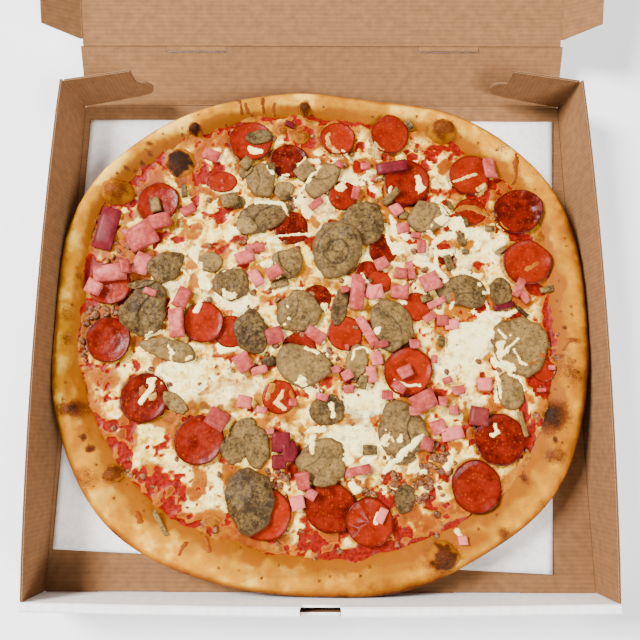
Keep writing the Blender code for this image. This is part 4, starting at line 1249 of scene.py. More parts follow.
    def build(self, dough: Dough, rim_piece: Object) -> Object:
        """Build the bed as a closed height field.

        Args:
            dough: gives the edge that the cheese meets.
            rim_piece: the dough that the cheese climbs a little.

        Returns:
            The piece.
        """
        axis = np.arange(-self.half, self.half + self.step / 2, self.step)
        x, y = np.meshgrid(axis, axis, indexing="ij")
        beyond = np.hypot(x, y) - dough.edge(np.arctan2(y, x))
        noise = Noise(51)
        curd = noise.fractal(x, y, 11 * MM, 4)
        pocket = noise.fractal(x + 0.4, y, 6 * MM, 3)
        melt, sauce, fat, toast = self.paint(x, y, beyond, noise, curd, pocket)
        z = self.height + self.slow(x, y)
        z += MM * (0.8 * curd + 0.5 * melt + 0.4 * (1 - sauce) * smoothstep(-0.3, 0.5, pocket))
        z -= MM * sauce
        bubble, mark = noise.pebbles(x, y, 5.5 * MM)
        z += np.where(mark > 0.6, 0.7 * MM * smoothstep(0.45, 0.0, bubble), 0) * (1 - sauce)
        z += 0.6 * MM * toast
        skin = tree_of([rim_piece])
        inside, near_rim = beyond < 9.5 * MM, beyond > -4 * MM
        climb = (1.2 + 4.5 * noise.fractal(x - 0.3, y, 13 * MM, 4)) * MM
        film = smoothstep(climb + 0.8 * MM, climb - 1.2 * MM, beyond)
        slope = z.copy()
        for i, j in np.argwhere(inside & near_rim):
            slope[i, j] = top_at(skin, x[i, j], y[i, j], z[i, j])
        z = np.where(near_rim, np.maximum(z, slope + 0.25 * MM), z) * film + (
            (slope - 0.9 * MM) * (1 - film))
        fat = np.maximum(fat, 0.75 * smoothstep(0, 3 * MM, beyond))
        keep = inside[:-1, :-1] & inside[1:, :-1] & inside[:-1, 1:] & inside[1:, 1:]
        points, faces, used = height_body(x, y, z, self.floor, keep)
        paints = {"melt": melt, "sauce": sauce, "fat": fat, "toast": toast}
        paints = {key: np.resize(np.append(np.clip(value, 0, 1).ravel()[used],
                                           np.zeros(len(points) - len(used))), len(points))
                  for key, value in paints.items()}
        bed = make_piece("cheese_and_sauce", points, faces, [MeltedCheese().build()],
                         paints=paints)
        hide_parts("cheese")
        return bed

    def paint(self, x: Array, y: Array, beyond: Array, noise: Noise, curd: Array, pocket: Array
              ) -> tuple[Array, Array, Array, Array]:
        """Return where the cheese is melted white, red with sauce, fatty and toasted.

        Args:
            x: places along X.
            y: places along Y.
            beyond: how far each place lies past the edge of the cheese.
            noise: the bed's noise.
            curd: its coarse lumps.
            pocket: its fine lumps.

        Returns:
            Melt, sauce, fat and toast at each place.
        """
        patch = Patch(41)
        melt = patch.paint(x, y, self.melts, 0.4)
        melt = melt * np.where(melt < 0.85, 0.55, 1.0)
        sauce = patch.paint(x, y, self.sauces, 0.35)
        fat = patch.paint(x, y, self.fats, 0.6)
        toast = patch.paint(x, y, self.toasts, 0.5)
        rim = smoothstep(-17 * MM, -1 * MM, beyond)
        sauce = np.maximum(sauce, rim * smoothstep(0.02, 0.42, pocket) * 0.95)
        sauce = np.maximum(sauce, 0.65 * smoothstep(0.34, 0.6, pocket) * (1 - melt))
        fat = np.maximum(fat, rim * (0.62 - 0.5 * curd))
        zone = smoothstep(0.05, 0.17, np.hypot(x, y))
        fat = np.maximum(fat, (0.5 + 0.45 * zone) * smoothstep(0.2, -0.3, curd) * (1 - 0.8 * melt))
        gaps = noise.fractal(x, y - 0.3, 10 * MM, 4)
        sauce = np.maximum(sauce, (0.55 + 0.4 * zone) * smoothstep(0.1, 0.38, gaps)
                           * (1 - 0.9 * melt))
        spots = noise.fractal(x + 0.2, y - 0.2, 9 * MM, 4)
        toast = np.maximum(toast, 0.55 * smoothstep(0.16, 0.5, spots))
        rim_spots = noise.fractal(x, y + 0.3, 7 * MM, 3)
        toast = np.maximum(toast, rim * 0.6 * smoothstep(0.2, 0.6, rim_spots))
        for sx, sy, reach in slice_rings():
            away = np.abs(np.hypot(x - sx, y - sy) - reach)
            fat = np.maximum(fat, 0.5 * smoothstep(3.2 * MM, 0.6 * MM, away) * (0.7 + 0.5 * curd))
        return melt, sauce, fat, toast


def slice_rings() -> list[tuple[float, float, float]]:
    """Return the middle and radius of every pepperoni slice, from its CAD node."""
    rings = []
    for name in sorted(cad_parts):
        if name.startswith("pepperoni"):
            low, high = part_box(name)
            rings.append(((low.x + high.x) / 2, (low.y + high.y) / 2, (high.x - low.x) / 2))
    return rings


class SliceKind(Enum):
    """The kinds of slice."""

    PEPPERONI = "pepperoni"
    MEAT = "roast_meat"


@dataclass(frozen=True)
class SliceForm:
    """How a kind of slice is shaped: thickness, roughness of its face, raggedness and how far
    its border curls up."""

    kind: SliceKind
    thickness: float
    rough: float
    rough_grain: float
    ragged: float
    curl: float
    spokes: int = 96


PEPPERONI_FORM = SliceForm(SliceKind.PEPPERONI, 1.7 * MM, 0.3 * MM, 5.5 * MM, 0.03, 0.9 * MM)
MEAT_FORM = SliceForm(SliceKind.MEAT, 3.1 * MM, 0.85 * MM, 4.2 * MM, 0.13, -0.6 * MM)


class Slices:
    """The slices with CAD nodes, each laid over the form of its node."""

    TOP_RINGS = tuple(np.linspace(0.05, 0.955, 25))
    EDGE_RINGS = ((0.985, 0.10), (1.0, 0.36), (0.995, 0.70), (0.96, 0.94))
    LOW_RINGS = (0.8, 0.4)

    def __init__(self) -> None:
        """Set the noises and the finishes."""
        self.noise = Noise(61)
        self.finish = {SliceKind.PEPPERONI: CuredSausage().build(),
                       SliceKind.MEAT: RoastMeat().build()}
        self.pieces: list[Object] = []

    def outline(self, points: Array, corners: Array, middle: Array, turns: Array) -> Array:
        """Return how far a node's plan reaches at each angle.

        Args:
            points: the node's vertices in plan.
            corners: its triangles as vertex numbers.
            middle: the point that the angles turn about.
            turns: the angles.

        Returns:
            One radius for each angle.
        """
        edges = np.concatenate([corners[:, [0, 1]], corners[:, [1, 2]], corners[:, [2, 0]]])
        a, b = points[edges[:, 0]] - middle, points[edges[:, 1]] - middle
        reach = []
        for turn in turns:
            ray = np.array((math.cos(turn), math.sin(turn)))
            side_a = ray[0] * a[:, 1] - ray[1] * a[:, 0]
            side_b = ray[0] * b[:, 1] - ray[1] * b[:, 0]
            crossing = side_a * side_b < 0
            share = side_a[crossing] / (side_a[crossing] - side_b[crossing])
            hit = a[crossing] + share[:, None] * (b[crossing] - a[crossing])
            reach.append(float((hit @ ray).max()) if len(hit) else 0.0)
        smooth = np.array(reach)
        for _ in range(2):
            smooth = (np.roll(smooth, 1) + 2 * smooth + np.roll(smooth, -1)) / 4
        return smooth

    def sample(self, tree: BVHTree, middle: Array, turns: Array, reach: Array, missing: float
               ) -> Array:
        """Return the heights of a node's top on rings round its middle, smoothed.

        Args:
            tree: the node's faces.
            middle: the middle of its plan.
            turns: the angles of the spokes.
            reach: how far the slice goes at each of them.
            missing: the height where nothing is found.

        Returns:
            One row for each ring.
        """
        tops = np.zeros((len(self.TOP_RINGS), len(turns)))
        for i, share in enumerate(self.TOP_RINGS):
            for j, turn in enumerate(turns):
                far = 0.97 * share * reach[j]
                tops[i, j] = top_at(tree, middle[0] + far * math.cos(turn),
                                    middle[1] + far * math.sin(turn), missing)
        for _ in range(3):
            around = (np.roll(tops, 1, 1) + np.roll(tops, -1, 1)) / 2
            along = tops.copy()
            along[1:-1] = (tops[:-2] + tops[2:]) / 2
            tops = 0.4 * tops + 0.3 * around + 0.3 * along
        return tops

    def build(self, name: str, form: SliceForm, number: int) -> None:
        """Build one slice over its CAD node.

        Args:
            name: the CAD node.
            form: how its kind is shaped.
            number: its number, which turns its noise.
        """
        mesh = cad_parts[name].data
        points = np.array([vert.co[:] for vert in mesh.vertices])
        corners = np.array([face.vertices[:] for face in mesh.polygons])
        tree = BVHTree.FromPolygons(points.tolist(), corners.tolist())
        middle = (points[:, :2].min(0) + points[:, :2].max(0)) / 2
        turns = np.linspace(0, 2 * math.pi, form.spokes, endpoint=False)
        reach = self.outline(points[:, :2], corners, middle, turns)
        shift = 0.11 * number
        jag = self.noise.fractal(np.cos(turns) * 0.02 + shift, np.sin(turns) * 0.02, 9 * MM, 4)
        reach = reach * (0.985 + form.ragged * jag)
        tops = self.sample(tree, middle, turns, reach, float(points[:, 2].max()))
        cos, sin = np.cos(turns), np.sin(turns)
        curl = form.curl * (0.5 + self.noise.at(cos * 0.03 + 3 * shift, sin * 0.03, 21 * MM))
        tops += smoothstep(0.72, 1.0, np.array(self.TOP_RINGS))[:, None] * curl
        rings, edge, crease = [], [], []
        for share in self.LOW_RINGS[::-1]:
            nearest = int(np.argmin([abs(share - s) for s in self.TOP_RINGS]))
            rings.append((share, tops[nearest] - form.thickness))
        for share, drop in self.EDGE_RINGS[::-1]:
            rings.append((share, tops[-1] - drop * form.thickness))
        rings += list(zip(self.TOP_RINGS, tops))[::-1]
        verts = []
        for share, z in rings:
            x, y = middle[0] + share * reach * cos, middle[1] + share * reach * sin
            top = z > tops.min() - 0.2 * form.thickness
            rough = form.rough * self.noise.fractal(x + shift, y, form.rough_grain, 3)
            # The fold gives relief and the crease lines, which are painted shade.
            relief, line = self.fold(name, x - middle[0], y - middle[1])
            verts.append(np.stack((x, y, z + np.where(top, rough, 0) + relief), -1))
            edge.append(np.full(form.spokes, share))
            crease.append(line)
        low = [middle[0], middle[1], float(tops[0].mean()) - form.thickness]
        high = [middle[0], middle[1], float(verts[-1][:, 2].mean())]
        skin = np.concatenate(verts + [np.array([low, high])])
        tone = 0.52 + 0.17 * math.sin(2.4 * number) + 0.08 * math.sin(5.1 * number)
        paints = {"edge": np.append(np.concatenate(edge), [0, 0]),
                  "tone": np.full(len(skin), tone),
                  "crease": np.append(np.concatenate(crease), [0, 0])}
        piece = make_piece(name + "_slice", skin, ring_faces(len(rings), form.spokes),
                           [self.finish[form.kind]], paints=paints)
        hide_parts(name)
        self.pieces.append(piece)

    def fold(self, name: str, x: Array, y: Array) -> tuple[Array, Array]:
        """Return the relief and the painted shade lines of a slice that is folded on itself.

        Args:
            name: the slice's CAD node. Pepperoni and every fourth slice of meat lie flat.
            x: places along X from its middle.
            y: places along Y from its middle.

        Returns:
            Heights and strengths of the painted shade lines.
        """
        if name == "roast_meat_04":
            swirl = np.hypot(x * 1.1, y) / MM + 2.5 * np.arctan2(y, x) / math.pi
            wave = np.cos(swirl * 2 * math.pi / 9.5)
            line = smoothstep(0.86, 1.0, wave) * smoothstep(21, 15, np.hypot(x, y) / MM)
            return -0.8 * MM * line, 0.8 * line
        number = int(name[-2:])
        if not name.startswith("roast_meat") or number % 4 == 3:
            return np.zeros_like(x), np.zeros_like(x)
        way = 2.4 * number
        along = y * math.cos(way) - x * math.sin(way)
        off = x * math.cos(way) + y * math.sin(way) + along ** 2 / (34 * MM)
        off += 1.2 * MM * self.noise.fractal(x + 0.1 * number, y, 8 * MM, 2)
        off -= 4.5 * MM * math.sin(1.7 * number)
        near = smoothstep(15 * MM, 8 * MM, np.abs(along))
        line = near * smoothstep(0.95 * MM, 0.2 * MM, np.abs(off))
        step = near * smoothstep(-0.5 * MM, 0.5 * MM, off) * smoothstep(9 * MM, 2 * MM, off)
        return 1.1 * MM * step - 0.3 * MM * line, 0.6 * line

    def build_all(self) -> None:
        """Build every slice that the frame has."""
        for name in sorted(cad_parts):
            number = int(name[-2:]) if name[-2:].isdigit() else 0
            if name.startswith("pepperoni"):
                self.build(name, PEPPERONI_FORM, number)
            elif name.startswith("roast_meat"):
                self.build(name, MEAT_FORM, number + 30)


@dataclass(frozen=True)
class Bit(Row):
    """One small piece of topping: place, length and width in photo pixels, turn in degrees,
    height in mm and shade from 0, dark, to 1, pale."""

    px: float
    py: float
    length: float
    width: float
    turn: float = 0.0
    height: float = 4.0
    tone: float = 0.5


HAM_BITS: tuple[Bit, ...] = Bit.table(
    (161.5, 221.6, 22, 13, 18, 5), (188, 209, 16, 10, 30), (211, 154, 18, 13, -20, 2.5),
    (355.7, 193, 8, 15, -12), (365.5, 165, 10, 8, 0, 3, 0.4), (315.6, 203, 16, 8, 40, 3),
    (339.4, 166, 8, 6, -30, 3), (254.9, 247.6, 20, 10, 10, 3), (488.6, 169.6, 13, 20, 12, 5),
    (396.4, 208.6, 12, 13, 30, 4, 0.7), (403, 227, 13, 11, 10, 3), (416, 234.6, 10, 6, -10, 3),
    (421.4, 246.5, 9, 14), (374, 177, 4, 8, -20, 3), (94.9, 287.8, 16, 14, -25, 6),
    (127.4, 267.8, 8, 15, 15, 7), (141.5, 263.4, 17, 22, -20, 4, 0.6),
    (151.2, 292.7, 13, 7, -20, 3, 0.6), (182.7, 298, 13, 21, -20, 6),
    (245, 257, 20, 13, 20, 5, 0.6), (256, 277.5, 11, 18, 30, 4, 0.7), (274.4, 273, 16, 12, 30),
    (344.9, 288.9, 9, 7, 20), (372, 291.6, 12, 14, -20, 4, 0.7), (274.4, 335, 17, 17, 15, 4, 0.4),
    (243, 362, 16, 19, 35, 6), (259, 369.7, 16, 8, 15, 4, 0.7), (315.6, 335, 20, 12, -35, 3),
    (367, 331, 9, 34, 30, 4, 0.6), (347, 347, 4, 6, 0, 3), (336, 369.7, 9, 7, 20),
    (347, 375, 10, 10, 30), (349, 389, 10, 8, 0, 3), (322, 396.8, 12, 7, -15),
    (245, 402, 14, 12, -10, 6, 0.6), (261.4, 409.8, 11, 7, -10, 3),
    (218, 419, 21, 19, -28, 6, 0.3), (372, 374, 10, 16, 10, 3, 0.7), (381.3, 263.4, 14, 12, 25),
    (400.8, 273, 13, 12, -8), (410.5, 270, 8, 18, 12, 3), (430, 282, 19, 19, 22, 5),
    (399.7, 291.6, 18, 14, -3, 5), (375.8, 291.6, 15, 14, 10, 4, 0.8),
    (436.6, 302.5, 20, 7, 25, 3, 0.6), (430, 316.6, 14, 8, 35, 3), (443, 320, 12, 11, 0, 3),
    (452, 324, 14, 10, 5, 2.5, 0.85), (415, 343.7, 11, 10, 5), (381, 344.7, 14, 7, 10, 3, 0.3),
    (377, 357.7, 11, 14, 10, 3, 0.7), (405, 371.8, 14, 12, 25, 5), (434.4, 358.8, 6, 8),
    (398.6, 387, 14, 9, -38, 5), (387.8, 394.6, 11, 9, 0, 3), (423.5, 401, 24, 19, 25, 6),
    (443, 401, 9, 9), (459, 390, 12, 9, 10), (485.3, 383.8, 14, 13, 0, 4, 0.85),
    (518.5, 288, 8, 19, -25), (524, 295, 8, 17, 35), (454, 409.8, 9, 9, 0, 3),
    (414.9, 411, 12, 9, 0, 3, 0.6), (452.8, 433.5, 21, 13, 12, 3, 0.7),
    (438.7, 427, 15, 14, 20, 3), (552.5, 367.4, 6, 5, 0, 3), (541.7, 390, 8, 4, 0, 3),
    (302.9, 481, 13, 17, 10, 6), (311, 494, 10, 10, -30, 5), (297.5, 502.6, 13, 13, 15, 6, 0.9),
    (270.4, 431, 7, 6), (357.8, 471, 26, 9, 12, 2.5), (427, 444, 12, 13, -15, 3),
    (381.6, 515.6, 8, 14, -25, 2.5, 0.9), (461.8, 539.5, 8, 8, 0, 3, 0.9),
    (478.8, 416, 17, 19, -10, 5, 0.2), (293, 402, 8, 8, 0, 2, 0.4), (448, 380, 9, 7, 20, 3))

DARK_HAM_BITS: tuple[Bit, ...] = Bit.table(
    (391, 167.4, 32, 12, 8), (281, 442, 18, 20), (290, 452, 14, 20, 10), (279, 462, 14, 14),
    (289.6, 123, 10, 6, -20, 3, 0.3), (505, 306, 22, 6, 14, 3, 0.2))

MEAT_BITS: tuple[Bit, ...] = Bit.table(
    (155.6, 205.3, 10, 16, 15), (183.8, 190, 6, 14, 8, 3, 0.4), (408.4, 125, 8, 9, 30, 3, 0.3),
    (391, 196.7, 22, 7, 45, 3), (404, 214, 10, 8, 0, 3), (490, 228, 10, 6, 0, 3),
    (547.5, 289, 13, 6, 10, 3), (246, 163, 12, 10, 50, 4, 0.6), (230, 200, 18, 14, 10),
    (304.5, 171.7, 20, 16, 40, 3, 0.7), (272, 168, 8, 8, 0, 3, 0.3),
    (523, 424, 5, 25, 12, 2, 0.7), (161, 523, 4, 26, 32, 2, 0.7), (524, 311, 14, 4, -40, 3, 0.2),
    (449, 262, 8, 16, 20, 3), (363, 382, 8, 14, -10, 3), (285, 196, 10, 8, 0, 3, 0.4),
    (501, 250, 12, 5, 30, 3), (466, 251, 8, 5, 0, 3), (450, 205, 10, 4, -60, 3, 0.4),
    (426, 298, 11, 8, 20, 3, 0.4), (280, 283, 18, 8, 15, 3), (268, 361, 14, 9, 20, 3, 0.3),
    (442, 341, 6, 10, 0, 3, 0.3), (370, 450, 14, 10, 0, 3), (427, 281, 8, 10, 0, 3, 0.3))

UNDER_PEPPERONI: tuple[Spot, ...] = Spot.table(
    (343, 195, 16, 16), (471, 211, 17, 15), (230, 331, 17, 17), (299, 349, 18, 18),
    (279, 397, 17, 17), (368, 272, 13, 13), (379, 282, 13, 13), (383, 250, 15, 15),
    (417, 306, 14, 15), (317, 298, 15, 15), (345, 333, 18, 18), (291, 227, 18, 18),
    (545, 370, 12, 12), (446, 256, 10, 9), (222, 181, 16, 12))

MORE_MEAT: tuple[Spot, ...] = Spot.table(
    (256, 446, 13, 21, 10), (234, 449, 13, 15, -10), (243, 428, 14, 9, 30), (501, 291, 12, 15, 5),
    (511, 391, 14, 19, 10), (340, 306, 8, 22, -12), (357, 361, 11, 18, -8),
    (327, 410, 19, 15, 20), (174, 402, 15, 8, -40), (405, 499, 10, 14, -15),
    (284, 189, 11, 9, 20), (305, 172, 10, 12, 30), (247, 227, 12, 9, -20), (464, 231, 6, 17, -8),
    (210, 262, 13, 11), (259, 137, 15, 8, 8), (391, 197, 11, 4, 48), (404, 459, 13, 5, 10),
    (246, 170, 9, 7, 40), (142, 284, 15, 5, 8), (236, 201, 10, 7, 10))


class Bits:
    """Small pieces of topping, each a soft-cornered block that rests on what is below it."""

    LEVEL = 21 * MM

    def __init__(self, seed: int) -> None:
        """Make the block that every piece starts from."""
        build = bmesh.new()
        bmesh.ops.create_cube(build, size=1)
        bmesh.ops.subdivide_edges(build, edges=build.edges, cuts=3, use_grid_fill=True)
        build.verts.ensure_lookup_table()
        self.block = np.array([vert.co[:] for vert in build.verts])
        self.faces = [tuple(vert.index for vert in face.verts) for face in build.faces]
        build.free()
        size = np.abs(self.block)
        corner = np.sort(size, 1)[:, 1:].sum(1) - 0.5
        self.block *= (1 - 0.16 * np.clip(corner, 0, 1) ** 2)[:, None]
        self.draw = np.random.default_rng(seed)
        self.noise = Noise(seed)

    def shape(self, bit: Bit, tree: BVHTree) -> Array:
        """Return the points of one piece, resting on what the tree holds.

        Args:
            bit: the piece.
            tree: what it may rest on.

        Returns:
            Its points in the row frame.
        """
        x, y = CAMERA.spot(bit.px, bit.py, self.LEVEL)
        length, width, height = bit.length * PX, bit.width * PX, bit.height * MM
        turn = math.radians(bit.turn)
        u = np.array((math.cos(turn), math.sin(turn)))
        v = np.array((-math.sin(turn), math.cos(turn)))
        rests = []
        for du, dv in ((0, 0), (0.35, 0.35), (0.35, -0.35), (-0.35, 0.35), (-0.35, -0.35)):
            spot = np.array((x, y)) + u * du * length + v * dv * width
            rests.append(top_at(tree, spot[0], spot[1], BED_TOP))
        slope_u = (rests[1] + rests[2] - rests[3] - rests[4]) / (2 * 0.7)
        slope_v = (rests[1] + rests[3] - rests[2] - rests[4]) / (2 * 0.7)
        limit = 0.35 * min(length, width)
        slope_u, slope_v = np.clip((slope_u, slope_v), -limit, limit)
        base = 0.5 * (max(rests) + sorted(rests)[2]) - 0.6 * MM
        block = self.block.copy()
        skew = self.draw.uniform(-0.14, 0.14, 4)
        block[:, 0] *= 1 + skew[0] * block[:, 1] + 0.12 * block[:, 2]
        block[:, 1] *= 1 + skew[1] * block[:, 0] + skew[2] * block[:, 2]
        plan = (np.array((x, y)) + block[:, :1] * length * u + block[:, 1:2] * width * v)
        wobble = self.noise.fractal(plan[:, 0] + block[:, 2] * 0.003, plan[:, 1], 4 * MM, 2)
        plan += 0.35 * MM * wobble[:, None]
        z = base + (block[:, 2] + 0.5) * height + block[:, 0] * slope_u + block[:, 1] * slope_v
        z += 0.35 * MM * self.noise.fractal(plan[:, 0] + 0.1, plan[:, 1], 4 * MM, 2)
        return np.column_stack((plan, z))

    def build(self, name: str, bits: Sequence[Bit], finish: Material, slot: str,
              tree: BVHTree) -> Object:
        """Build all pieces of one kind as one mesh.

        Args:
            name: the piece's name.
            bits: the small pieces.
            finish: their material.
            slot: the record's material slot, which is not used.
            tree: what they rest on.

        Returns:
            The mesh piece.
        """
        points, faces, tones = [], [], []
        for bit in bits:
            start = sum(len(p) for p in points)
            points.append(self.shape(bit, tree))
            faces += [tuple(start + i for i in face) for face in self.faces]
            tones += [bit.tone + float(self.draw.uniform(-0.08, 0.08))] * len(self.block)
        total = len(tones)
        paints = {"tone": tones, "edge": np.zeros(total), "crease": np.zeros(total)}
        return make_piece(name, np.concatenate(points), faces, [finish], paints=paints)

    def replace(self, name: str, finish: Material, tone: float) -> Object:
        """Build the detailed form of a ham node in the node's own place.

        Args:
            name: the CAD node.
            finish: its material.
            tone: its shade.

        Returns:
            The piece.
        """
        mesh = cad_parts[name].data
        points = np.array([vert.co[:] for vert in mesh.vertices])
        tree = BVHTree.FromPolygons(points.tolist(), [f.vertices[:] for f in mesh.polygons])
        middle = (points.min(0) + points.max(0)) / 2
        flat = points[:, :2] - middle[:2]
        axes = np.linalg.eigh(flat.T @ flat)[1]
        u, v = axes[:, 1], axes[:, 0]
        length, width = 0.98 * np.ptp(flat @ u), 0.98 * np.ptp(flat @ v)
        low = points[:, 2].min() + 0.4 * MM
        inward = 0.88
        block = self.block.copy()
        plan = middle[:2] + block[:, :1] * length * u + block[:, 1:2] * width * v
        z = []
        for (x, y), height in zip(plan, block[:, 2]):
            inner = middle[:2] + (np.array((x, y)) - middle[:2]) * inward
            top = top_at(tree, inner[0], inner[1], float(points[:, 2].max()))
            z.append(low + (height + 0.5) * (top - low))
        wobble = self.noise.fractal(plan[:, 0], plan[:, 1] + block[:, 2] * 0.004, 5 * MM, 2)
        plan = plan + 0.4 * MM * wobble[:, None]
        total = len(plan)
        paints = {"tone": np.full(total, tone), "edge": np.zeros(total), "crease": np.zeros(total)}
        piece = make_piece(name + "_piece", np.column_stack((plan, z)), self.faces, [finish],
                           paints=paints)
        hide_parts(name)
        return piece


@dataclass(frozen=True)
class Strand(Row):
    """A string or blob of melted cheese: its line as X and Y of each point in turn and its width
    in photo pixels, its thickness in mm, and how toasted and how fatty it is."""

    line: tuple[float, ...]
    width: float
    thick: float = 1.4
    toast: float = 0.0
    fat: float = 0.0


STRANDS: tuple[Strand, ...] = Strand.table(
    ((320, 166, 301, 189), 6), ((258, 200, 281, 203), 9), ((233, 231), 17), ((215, 199), 15),
    ((268, 237, 290, 233, 310, 231), 3), ((300, 195, 306, 212), 12, 0.8),
    ((259, 149, 249, 147), 9), ((386, 222, 388, 238, 394, 248, 406, 249), 6),
    ((391, 214, 397, 225, 407, 235, 420, 237), 8),
    ((441, 220, 462, 219, 452, 230, 436, 240, 430, 247), 12), ((425, 186, 421, 181), 14),
    ((476, 232, 484, 236), 24, 1.6), ((442, 205, 450, 211), 13, 0.8), ((391, 186, 389, 198), 4.5),
    ((366, 175, 372, 182), 16), ((495, 245, 503, 240), 15), ((432, 226), 4),
    ((428, 230, 434, 233), 4), ((181, 268, 186, 274, 184, 281), 4.5),
    ((192, 252, 200, 266, 204, 282), 14), ((145, 338, 152, 334, 162, 332), 5),
    ((139, 354, 147, 351), 4), ((170, 345, 173, 354), 3), ((200, 301, 196, 310), 7),
    ((151, 385, 145, 394, 140, 402), 6), ((153, 379), 12), ((152, 396), 10, 1.6, 0.2, 0.5),
    ((140, 389), 9, 1.2, 0.2, 0.8), ((262, 262, 268, 264), 11, 2.5), ((274, 291, 284, 284), 9),
    ((294, 286, 300, 287), 9), ((289, 305.8), 4), ((289, 318), 4.5), ((284, 324), 4),
    ((325, 305, 326, 311), 9), ((317, 329, 323, 341), 8), ((363, 272, 366, 278, 370, 285), 5),
    ((352, 358, 356, 350, 363, 348, 373, 351), 3), ((297, 383, 308, 388, 318, 391), 13, 1.2),
    ((306, 347, 316, 352), 6), ((355, 395, 372, 400, 380, 392), 26, 1.2),
    ((332, 404, 334, 416), 5), ((223, 271, 229, 267, 235, 262), 3.5), ((219, 270), 5),
    ((224.5, 290, 225, 298), 4), ((398, 247, 404, 246), 12), ((418, 262, 436, 267, 445, 278), 9),
    ((436, 245, 437, 262), 8), ((427, 250, 448, 250), 14), ((459, 270, 470, 271, 480, 276), 13),
    ((491, 246, 497, 262), 7), ((406, 301), 9), ((479.7, 284.6), 4.5), ((485.5, 292), 5),
    ((454, 294, 453, 301), 4, 1.5, 0.2, 0.8), ((453, 301, 451, 308), 3), ((476, 311), 5),
    ((488, 300, 490, 308, 493, 312), 3), ((460, 330, 478, 338, 470, 352, 458, 345), 26, 1.6),
    ((445, 364, 456, 368), 20), ((470, 362, 468, 378), 22, 1.2),
    ((498, 313, 508, 313, 517, 310), 7.5, 2.0), ((484, 317, 492, 320), 16, 1.6),
    ((499, 329, 505, 337), 5), ((502, 343, 502, 356), 9, 1.6),
    ((503, 357, 512, 346, 519, 337), 4), ((498, 361, 505, 366, 513, 366), 10, 1.6),
    ((499, 372, 500, 384), 4.5), ((511, 373, 521, 377, 528, 389), 4),
    ((516, 350, 521, 361, 528, 363), 3.5), ((528, 363, 538, 361), 3.5, 1.2, 0.1, 0.9),
    ((511, 334), 4), ((490, 332, 486, 345), 9), ((517, 355), 5, 1.2, 0.1, 1.0),
    ((543, 356), 6, 1.2, 0.1, 0.8), ((377, 332), 8, 2.0), ((366, 351, 376, 353), 3),
    ((396, 379, 405, 386, 421, 385), 3), ((438, 378, 449, 380), 11),
    ((340, 432, 372, 436, 382, 444), 22, 1.3), ((382, 440, 376, 452, 368, 464), 11),
    ((347, 446, 349, 462), 9), ((422, 437, 412, 447, 402, 456, 394, 462, 386, 471), 7, 2.0),
    ((401.7, 434, 401.5, 439), 6), ((410, 470, 427, 473), 7), ((352, 484, 358, 490), 9),
    ((273, 451, 279, 449), 5), ((314, 438, 312, 450), 6.5), ((312, 430, 322, 428), 9),
    ((497, 424, 499, 430, 492, 434), 5), ((446, 466, 455, 452), 8, 1.0),
    ((498, 384, 502, 400), 8, 0.9), ((380, 516, 377, 524), 4.5),
    ((458, 531, 464, 542), 5, 1.4, 0.0, 0.2), ((240, 300, 222, 303), 16, 1.0),
    ((170, 372, 196, 378, 190, 366), 26, 1.0), ((288, 213, 283, 206), 7),
    ((341, 184, 352, 176), 14, 1.0), ((337, 152, 330, 144, 327, 133), 8, 1.1, 0.2, 0.4),
    ((341, 148, 350, 156), 4, 1.0), ((300, 163, 306, 157, 318, 158), 9, 1.1, 0.0, 0.1),
    ((286, 172, 279, 178), 8), ((273, 174, 268, 166), 4),
    ((371, 148, 378, 155, 370, 135), 10, 1.3, 0.3, 0.4), ((383, 150), 11, 1.5, 0.3, 0.4),
    ((478, 172, 452, 182), 5, 0.8, 0.0, 0.3), ((487, 186, 480, 190), 8, 1.2, 0.1, 0.4),
    ((455, 207, 472, 206, 488, 212), 6, 1.0, 0.2, 0.6), ((494, 214), 9, 1.4, 0.2, 0.6),
    ((241, 112, 240, 103, 235, 100), 5, 1.4, 0.7, 0.9), ((247, 112, 246, 105), 4, 1.2, 0.5, 0.9),
    ((263, 110, 263, 101), 5, 1.4, 0.7, 0.9), ((274, 112, 273, 104), 4, 1.2, 0.5, 0.9),
    ((515, 182, 516, 168, 516, 155), 5, 1.6, 0.6, 1.0), ((186, 543, 180, 553), 4, 1.4, 0.3, 1.0),
    ((206, 538, 209, 549), 5, 1.4, 0.3, 1.0), ((138, 514, 142, 522), 5, 1.2, 0.3, 1.0),
    ((575, 340, 568, 342, 563, 350), 4, 1.2, 0.6, 0.9),
    ((281, 390, 276, 402, 284, 408), 8, 1.1, 0.0, 0.3), ((271, 385, 268, 396), 6, 1.0, 0.0, 0.5),
    ((291, 390, 296, 404), 6, 1.0, 0.1, 0.6), ((508, 228, 500, 222), 4, 0.8, 0.0, 0.5),
    ((537, 262, 528, 268), 5, 0.9, 0.1, 0.7))


